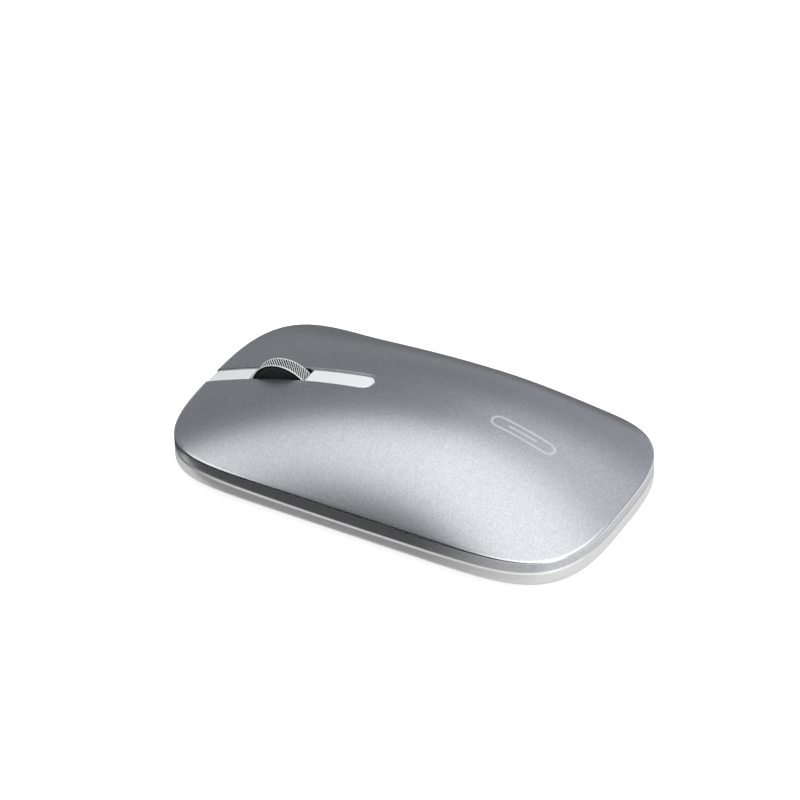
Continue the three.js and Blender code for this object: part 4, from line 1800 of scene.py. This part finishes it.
@dataclass
class ScrollWheel:
    """The knurled ring and the dark disc that carries it.

    Attributes:
        rim: Width of the plain rim on each side of the knurl.
        rim_chamfer: Chamfer of the ring's outer edges.
        ring_depth: The ring's thickness.
        knurl_pitch: From one ridge to the next round the ring.
        knurl_depth: Depth of the valleys.
        knurl_lean: Share of the knurl that is one way's ridges, and not the diamonds of both.
        steps_per_tooth: Steps in the turn for each ridge.
        steps_per_row: Faces across for each row of diamonds.
        rows: Rows of diamonds.
        disc_inset: How far the disc's face lies inside the ring's.
        disc_steps: Steps in the disc's turn.
        centre: The wheel's centre.
        radius: The ring's outer radius.
        half: Half the ring's width.
    """

    rim: float = 0.24
    rim_chamfer: float = 0.12
    ring_depth: float = 0.6
    knurl_pitch: float = 0.7
    knurl_depth: float = 0.45
    steps_per_tooth: int = 6
    steps_per_row: int = 6
    rows: int = 4
    knurl_lean: float = 0.65
    disc_inset: float = 0.3
    disc_steps: int = 128
    centre: Vector = field(init=False)
    radius: float = field(init=False)
    half: float = field(init=False)

    def __post_init__(self) -> None:
        """Reads the wheel's place and size from its CAD ring."""
        low, high = corners("wheel_tyre")
        self.centre = (low + high) / 2
        self.radius = (high.z - low.z) / 2
        self.half = (high.x - low.x) / 2

    def ring(self) -> bpy.types.Object:
        """Builds the metal ring with its diamond knurl.

        Returns:
            The piece.
        """
        teeth = round(2 * math.pi * self.radius / self.knurl_pitch)
        tread = self.half - self.rim
        crest = self.radius - 0.02
        outer_side = [
            (self.radius, tread + 0.03), (self.radius, self.half - self.rim_chamfer),
            (self.radius - self.rim_chamfer, self.half), (self.radius - self.ring_depth, self.half),
        ]
        across = np.linspace(-tread, tread, self.rows * self.steps_per_row + 1)
        inner_side = [(radius, -x) for radius, x in reversed(outer_side)]
        profile = [*inner_side, *[(crest, float(x)) for x in across], *outer_side]
        work = Workpiece()
        work.spin(profile, self.centre, teeth * self.steps_per_tooth)
        bmesh.ops.remove_doubles(work.bm, verts=work.bm.verts, dist=TINY / 10)
        for vert in work.bm.verts:
            offset = vert.co - self.centre
            radius = math.hypot(offset.y, offset.z)
            if abs(offset.x) > tread + TINY or radius < self.radius - 0.1:
                continue
            turn = math.atan2(offset.y, offset.z) * teeth / (2 * math.pi)
            shift = offset.x * self.rows / (2 * tread)
            lines = (turn - shift, turn + shift)
            one_way, other_way = (abs(2 * (line - math.floor(line + 0.5))) for line in lines)
            ridge = self.knurl_lean * one_way + (1 - self.knurl_lean) * min(one_way, other_way)
            scale = (crest - self.knurl_depth * (1 - ridge)) / radius
            vert.co.y, vert.co.z = self.centre.y + offset.y * scale, self.centre.z + offset.z * scale
        piece = work.finish("wheel_ring", KNURL, "wheel", sharp=40)
        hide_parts("wheel_tyre")
        return piece

    def disc(self) -> bpy.types.Object:
        """Builds the dark disc inside the ring.

        Returns:
            The piece.
        """
        outer = self.radius - self.ring_depth
        face = self.half - self.disc_inset
        axle_low, axle_high = corners("wheel_axle")
        bore = (axle_high.z - axle_low.z) / 2 + 0.05
        side = [
            (outer, face - 0.12), (outer - 0.12, face), (outer - 1.1, face), (outer - 1.4, face - 0.25),
            (bore + 1.7, face - 0.25), (bore + 1.35, face + 0.12), (bore + 0.1, face + 0.12), (bore, face),
        ]
        profile = [*side, *[(radius, -x) for radius, x in reversed(side)]]
        work = Workpiece()
        work.spin(profile, self.centre, self.disc_steps)
        piece = work.finish("wheel_disc", DISC, "wheel")
        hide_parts("wheel_hub")
        return piece

    def build(self) -> list[bpy.types.Object]:
        """Builds both pieces.

        Returns:
            The pieces.
        """
        return [self.ring(), self.disc()]


# ---------------------------------------------------------------- pieces that stay as the CAD made them


@dataclass
class Interior:
    """Finishes for the CAD nodes that are shown as they are.

    Attributes:
        finishes: Each node's finish, apart from those that come in a left and a right.
    """

    finishes: dict[str, Finish] = field(
        default_factory=lambda: {
            "wheel_axle": DARK,
            "axle_bush": WHITE,
            "wheel_housing": DARK,
            "encoder_body": DARK,
            "encoder_clip": STEEL,
            "encoder_rotor": WHITE,
            "wheel_switch_body": DARK,
            "wheel_switch_stem": WHITE,
            "circuit_board": BOARD,
            "sensor_chip": DARK,
            "sensor_lens": LENS,
            "control_chip": DARK,
            "charger_chip": DARK,
            "timing_crystal": STEEL,
            "usb_port_shell": STEEL,
            "usb_port_tongue": DARK,
            "battery_pad": FOAM,
            "battery_cell": FOIL,
            "battery_connector": WHITE,
            "battery_lead_red": RED,
            "battery_lead_black": BLACK,
            "receiver_cap": DARK,
            "receiver_plug": STEEL,
            "receiver_tongue": WHITE,
            "power_switch_body": STEEL,
            "power_slider": DARK,
            "mode_switch_body": STEEL,
            "mode_button": DARK,
        }
    )

    def dress(self) -> None:
        """Gives every shown CAD node its finish."""
        finishes = dict(self.finishes)
        for side in Side:
            finishes[f"{side.word}_switch_body"] = DARK
            finishes[f"{side.word}_switch_cover"] = STEEL
            finishes[f"{side.word}_switch_plunger"] = WHITE
            finishes[f"front_screw_{side.word}"] = STEEL
            finishes[f"rear_screw_{side.word}"] = STEEL
        for name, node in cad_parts.items():
            if name not in finishes:
                continue
            node.data.materials.clear()
            node.data.materials.append(finishes[name].material())
        log.info("dressed %d CAD nodes", len(finishes))


# ---------------------------------------------------------------- studio


def towards(azimuth: float, elevation: float) -> Vector:
    """The direction from the mouse to something that stands round it.

    Args:
        azimuth: Where it stands, in degrees, 0 behind the mouse's rear.
        elevation: How high it stands, in degrees.

    Returns:
        The direction, of length 1.
    """
    a, e = math.radians(azimuth), math.radians(elevation)
    return Vector((math.sin(a) * math.cos(e), -math.cos(a) * math.cos(e), math.sin(e)))


def flat_sheet(name: str, low: Point, high: Point, height: float) -> bpy.types.Object:
    """Lays a flat rectangle.

    Args:
        name: Its name.
        low: One corner in plan, in millimetres.
        high: The other corner in plan.
        height: Its height.

    Returns:
        The rectangle.
    """
    work = Workpiece()
    size = (high[0] - low[0], high[1] - low[1])
    work.grid(1, 1, lambda a, b: Vector((low[0] + size[0] * a, low[1] + size[1] * b, height)))
    return work.place(name)


@dataclass(frozen=True)
class Card:
    """A flag or reflector that only reflections see.

    Attributes:
        name: Its name.
        low: One corner in plan, in millimetres.
        high: The other corner in plan.
        height: Its height over the floor.
        tone: Its brightness.
        fade: Y where it has faded to the floor's brightness and Y where the fade starts, if it fades.
        floor_tone: The floor's brightness.
    """

    name: str
    low: Point
    high: Point
    height: float
    tone: float
    fade: Point | None = None
    floor_tone: float = 0.55

    def build(self) -> bpy.types.Object:
        """Builds the card as part of the stage.

        Returns:
            The card.
        """
        card = flat_sheet(self.name, self.low, self.high, self.height)
        material = bpy.data.materials.new(self.name)
        shader = empty_shader(material)
        tone = self.tone
        if self.fade is not None:
            _, y, _ = shader.axes()
            gone, start = (place * MM for place in self.fade)
            tone = shader.remap(y, gone, start, self.floor_tone, self.tone)
        shader.add("OutputMaterial", Surface=shader.add("Emission", Strength=tone).outputs[0])
        card.data.materials.append(material)
        card.visible_camera = False
        card.visible_diffuse = False
        card.visible_shadow = False
        card.visible_transmission = False
        card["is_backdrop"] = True
        return card


@dataclass(frozen=True)
class Lamp:
    """A soft square lamp that faces the mouse.

    Attributes:
        name: Its name.
        azimuth: Where it stands, in degrees, as for the camera.
        elevation: How high it stands, in degrees.
        size: Its side, in millimetres.
        power: Its power, in watts.
        glossy: Whether reflections see it.
        distance: From the middle of the floor, in millimetres.
    """

    name: str
    azimuth: float
    elevation: float
    size: float
    power: float
    glossy: bool
    distance: float = 900.0

    def build(self) -> bpy.types.Object:
        """Hangs the lamp in the studio.

        Returns:
            The lamp.
        """
        data = bpy.data.lights.new(self.name, "AREA")
        data.shape = "SQUARE"
        data.size = self.size * MM
        data.energy = self.power
        lamp = bpy.data.objects.new(self.name, data)
        bpy.context.scene.collection.objects.link(lamp)
        out = towards(self.azimuth, self.elevation)
        lamp.location = out * self.distance * MM
        lamp.rotation_euler = out.to_track_quat("Z", "Y").to_euler()
        lamp.visible_glossy = self.glossy
        return lamp


FLOOR_FADE = (-45.0, -10.0)
CARDS = (
    Card("near_flag", (-60.0, -60.0), (-33.5, 70.0), 0.4, 0.085, FLOOR_FADE),
    Card("near_black", (-320.0, -60.0), (-60.0, 260.0), 0.4, 0.0, FLOOR_FADE),
    Card("front_flag", (-33.5, 56.5), (0.0, 70.0), 0.4, 0.07),
    Card("front_black", (-60.0, 70.0), (0.0, 260.0), 0.4, 0.0),
    Card("far_flag", (24.0, -40.0), (500.0, 500.0), 0.4, 0.12),
)
LAMPS = (
    Lamp("rear_fill", -25.0, 22.0, 500.0, 1.5, glossy=True),
    Lamp("top_fill", -30.0, 75.0, 900.0, 2.9, glossy=False),
)


@dataclass
class Studio:
    """Floor, light and camera.

    Attributes:
        azimuth: Where the camera stands, in degrees.
        elevation: How high it stands, in degrees.
        roll: Its turn about its own line of sight, in degrees.
        distance: From the aim point, in millimetres.
        lens: Focal length, in millimetres.
        aim: The point that it looks at, in millimetres.
        floor_half: Half the floor's side, in millimetres.
        floor_tone: How much of the light the floor gives back.
        floor_glow: The floor's own light.
        floor_lift: How much more of it the eye sees.
        backdrop: Brightness of the surround as the eye sees it.
        across: Level direction from the dark side of the room to its bright side.
        wall_tone: Brightness of the walls.
        wall_tint: Colour of the walls.
        far_wall: How much brighter the wall on the bright side is.
        skirt: How much brighter the foot of that wall is.
        ceiling_lean: How much higher the ceiling's edge is for each step in x, y and towards the rear.
        ceiling_start: Height where the ceiling starts, as a share of the zenith's.
        ceiling_full: Height from which it is fully bright.
        ceiling_tone: Brightness of the ceiling.
        ceiling_tint: Colour of the ceiling.
        zenith_tone: Brightness straight above.
    """

    azimuth: float = -60.115
    elevation: float = 36.467
    roll: float = -1.3
    distance: float = 982.97
    lens: float = 188.79
    aim: tuple[float, float, float] = (6.16, 6.87, 14.66)
    floor_half: float = 3000.0
    floor_tone: float = 0.6
    floor_glow: float = 0.1
    floor_lift: float = 0.66
    backdrop: float = 1.05
    across: Point = (0.87, -0.5)
    wall_tone: float = 0.2
    wall_tint: Colour = (0.93, 0.965, 1.06)
    far_wall: float = 0.16
    skirt: float = 0.14
    ceiling_lean: tuple[float, float, float] = (-0.1, -0.05, -0.3)
    ceiling_start: float = 0.58
    ceiling_full: float = 0.78
    ceiling_tone: float = 1.05
    ceiling_tint: Colour = (0.985, 0.985, 1.0)
    zenith_tone: float = 1.2

    def camera(self) -> None:
        """Sets up the camera."""
        back = towards(self.azimuth, self.elevation)
        side, roll = math.radians(self.azimuth), math.radians(self.roll)
        right = Vector((math.cos(side), math.sin(side), 0.0))
        up = back.cross(right)
        x_axis = math.cos(roll) * right + math.sin(roll) * up
        y_axis = math.cos(roll) * up - math.sin(roll) * right
        turn = Matrix((x_axis, y_axis, back)).transposed().to_4x4()
        data = bpy.data.cameras.new("camera")
        data.lens = self.lens
        data.sensor_width = 36.0
        data.clip_start = 0.01
        camera = bpy.data.objects.new("camera", data)
        bpy.context.scene.collection.objects.link(camera)
        camera.matrix_world = Matrix.Translation((Vector(self.aim) + back * self.distance) * MM) @ turn
        bpy.context.scene.camera = camera

    def floor(self) -> None:
        """Lays a plain white floor that is clear from below."""
        corner = (self.floor_half, self.floor_half)
        floor = flat_sheet("floor", (-self.floor_half, -self.floor_half), corner, 0.0)
        material = bpy.data.materials.new("pale_floor")
        shader = empty_shader(material)
        matt = shader.add("BsdfDiffuse", Color=(self.floor_tone,) * 3)
        seen = shader.add("LightPath").outputs["Is Camera Ray"]
        strength = shader.math("MULTIPLY_ADD", seen, self.floor_lift, self.floor_glow)
        glow = shader.add("Emission", Color=(1.0, 1.0, 1.0), Strength=strength)
        lit = shader.join("AddShader", matt, glow)
        clear = shader.add("BsdfTransparent")
        from_below = shader.add("NewGeometry").outputs["Backfacing"]
        sides = shader.join("MixShader", lit, clear, share=from_below)
        shader.add("OutputMaterial", Surface=sides.outputs[0])
        floor.data.materials.append(material)
        floor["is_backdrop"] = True

    def world(self) -> None:
        """A white surround for the eye, and for light a bright ceiling over dim walls."""
        world = bpy.data.worlds.new("studio")
        bpy.context.scene.world = world
        shader = empty_shader(world)
        x, y, z = shader.add("SeparateXYZ", Vector=shader.add("TexCoord").outputs["Generated"]).outputs
        facing = shader.math("MULTIPLY_ADD", y, self.across[1], shader.math("MULTIPLY", x, self.across[0]))
        dark_side = shader.remap(facing, -0.9, -0.3, 1.0, 0.0)
        dark_low = shader.math("MULTIPLY", dark_side, shader.remap(z, 0.2, 0.75, 1.0, 0.0))
        near = shader.math("MULTIPLY_ADD", dark_low, -self.wall_tone, self.wall_tone)
        far = shader.remap(facing, 0.45, 1.0, 0.0, self.far_wall)
        bright_side = shader.remap(facing, -0.2, 0.3, 0.0, 1.0)
        skirt = shader.math("MULTIPLY", shader.remap(z, 0.0, 0.25, self.skirt, 0.0), bright_side)
        walls = shader.math("ADD", shader.math("ADD", near, far), skirt)
        lean_x, lean_y, lean_rear = self.ceiling_lean
        height = shader.math("MULTIPLY_ADD", shader.math("MINIMUM", y, 0.0), lean_rear, z)
        height = shader.math("MULTIPLY_ADD", x, lean_x, shader.math("MULTIPLY_ADD", y, lean_y, height))
        ceiling = shader.remap(height, self.ceiling_start, self.ceiling_full, 0.0, 1.0)
        above = shader.remap(height, self.ceiling_full, 1.0, self.ceiling_tone, self.zenith_tone)
        tone = shader.math("MULTIPLY_ADD", ceiling, shader.math("SUBTRACT", above, walls), walls)
        tint = shader.mix(ceiling, self.wall_tint, self.ceiling_tint)
        room = shader.add("Background", Color=shader.shade(tint, tone), Strength=1.0)
        white = shader.add("Background", Color=(1.0, 1.0, 1.0), Strength=self.backdrop)
        seen = shader.add("LightPath").outputs["Is Camera Ray"]
        both = shader.join("MixShader", room, white, share=seen)
        shader.add("OutputWorld", Surface=both.outputs[0])

    def build(self) -> None:
        """Builds the whole studio."""
        bpy.context.scene.view_settings.view_transform = "Standard"
        self.camera()
        self.floor()
        self.world()
        for item in (*CARDS, *LAMPS):
            item.build()
        log.info("studio set")


def write_sizes() -> None:
    """Works out the CAD box and the visual model's box as plain lists, and keeps neither."""
    boxes = {"cad": CAD_BOX, "visual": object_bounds()}
    {name: [list(corner) for corner in box] for name, box in boxes.items()}


def main() -> None:
    """Builds the mouse and its studio."""
    logging.basicConfig(level=logging.INFO, format="%(message)s")
    Studio().build()
    form = measured_form()
    for side in Side:
        HalfSkin(form, side).build()
    LowerShell(form).build()
    for foot in GlideFoot.pair(form):
        foot.build()
    CentreStrip(form).build()
    ScrollWheel().build()
    Interior().dress()
    write_sizes()


if __name__ == "__main__":
    main()
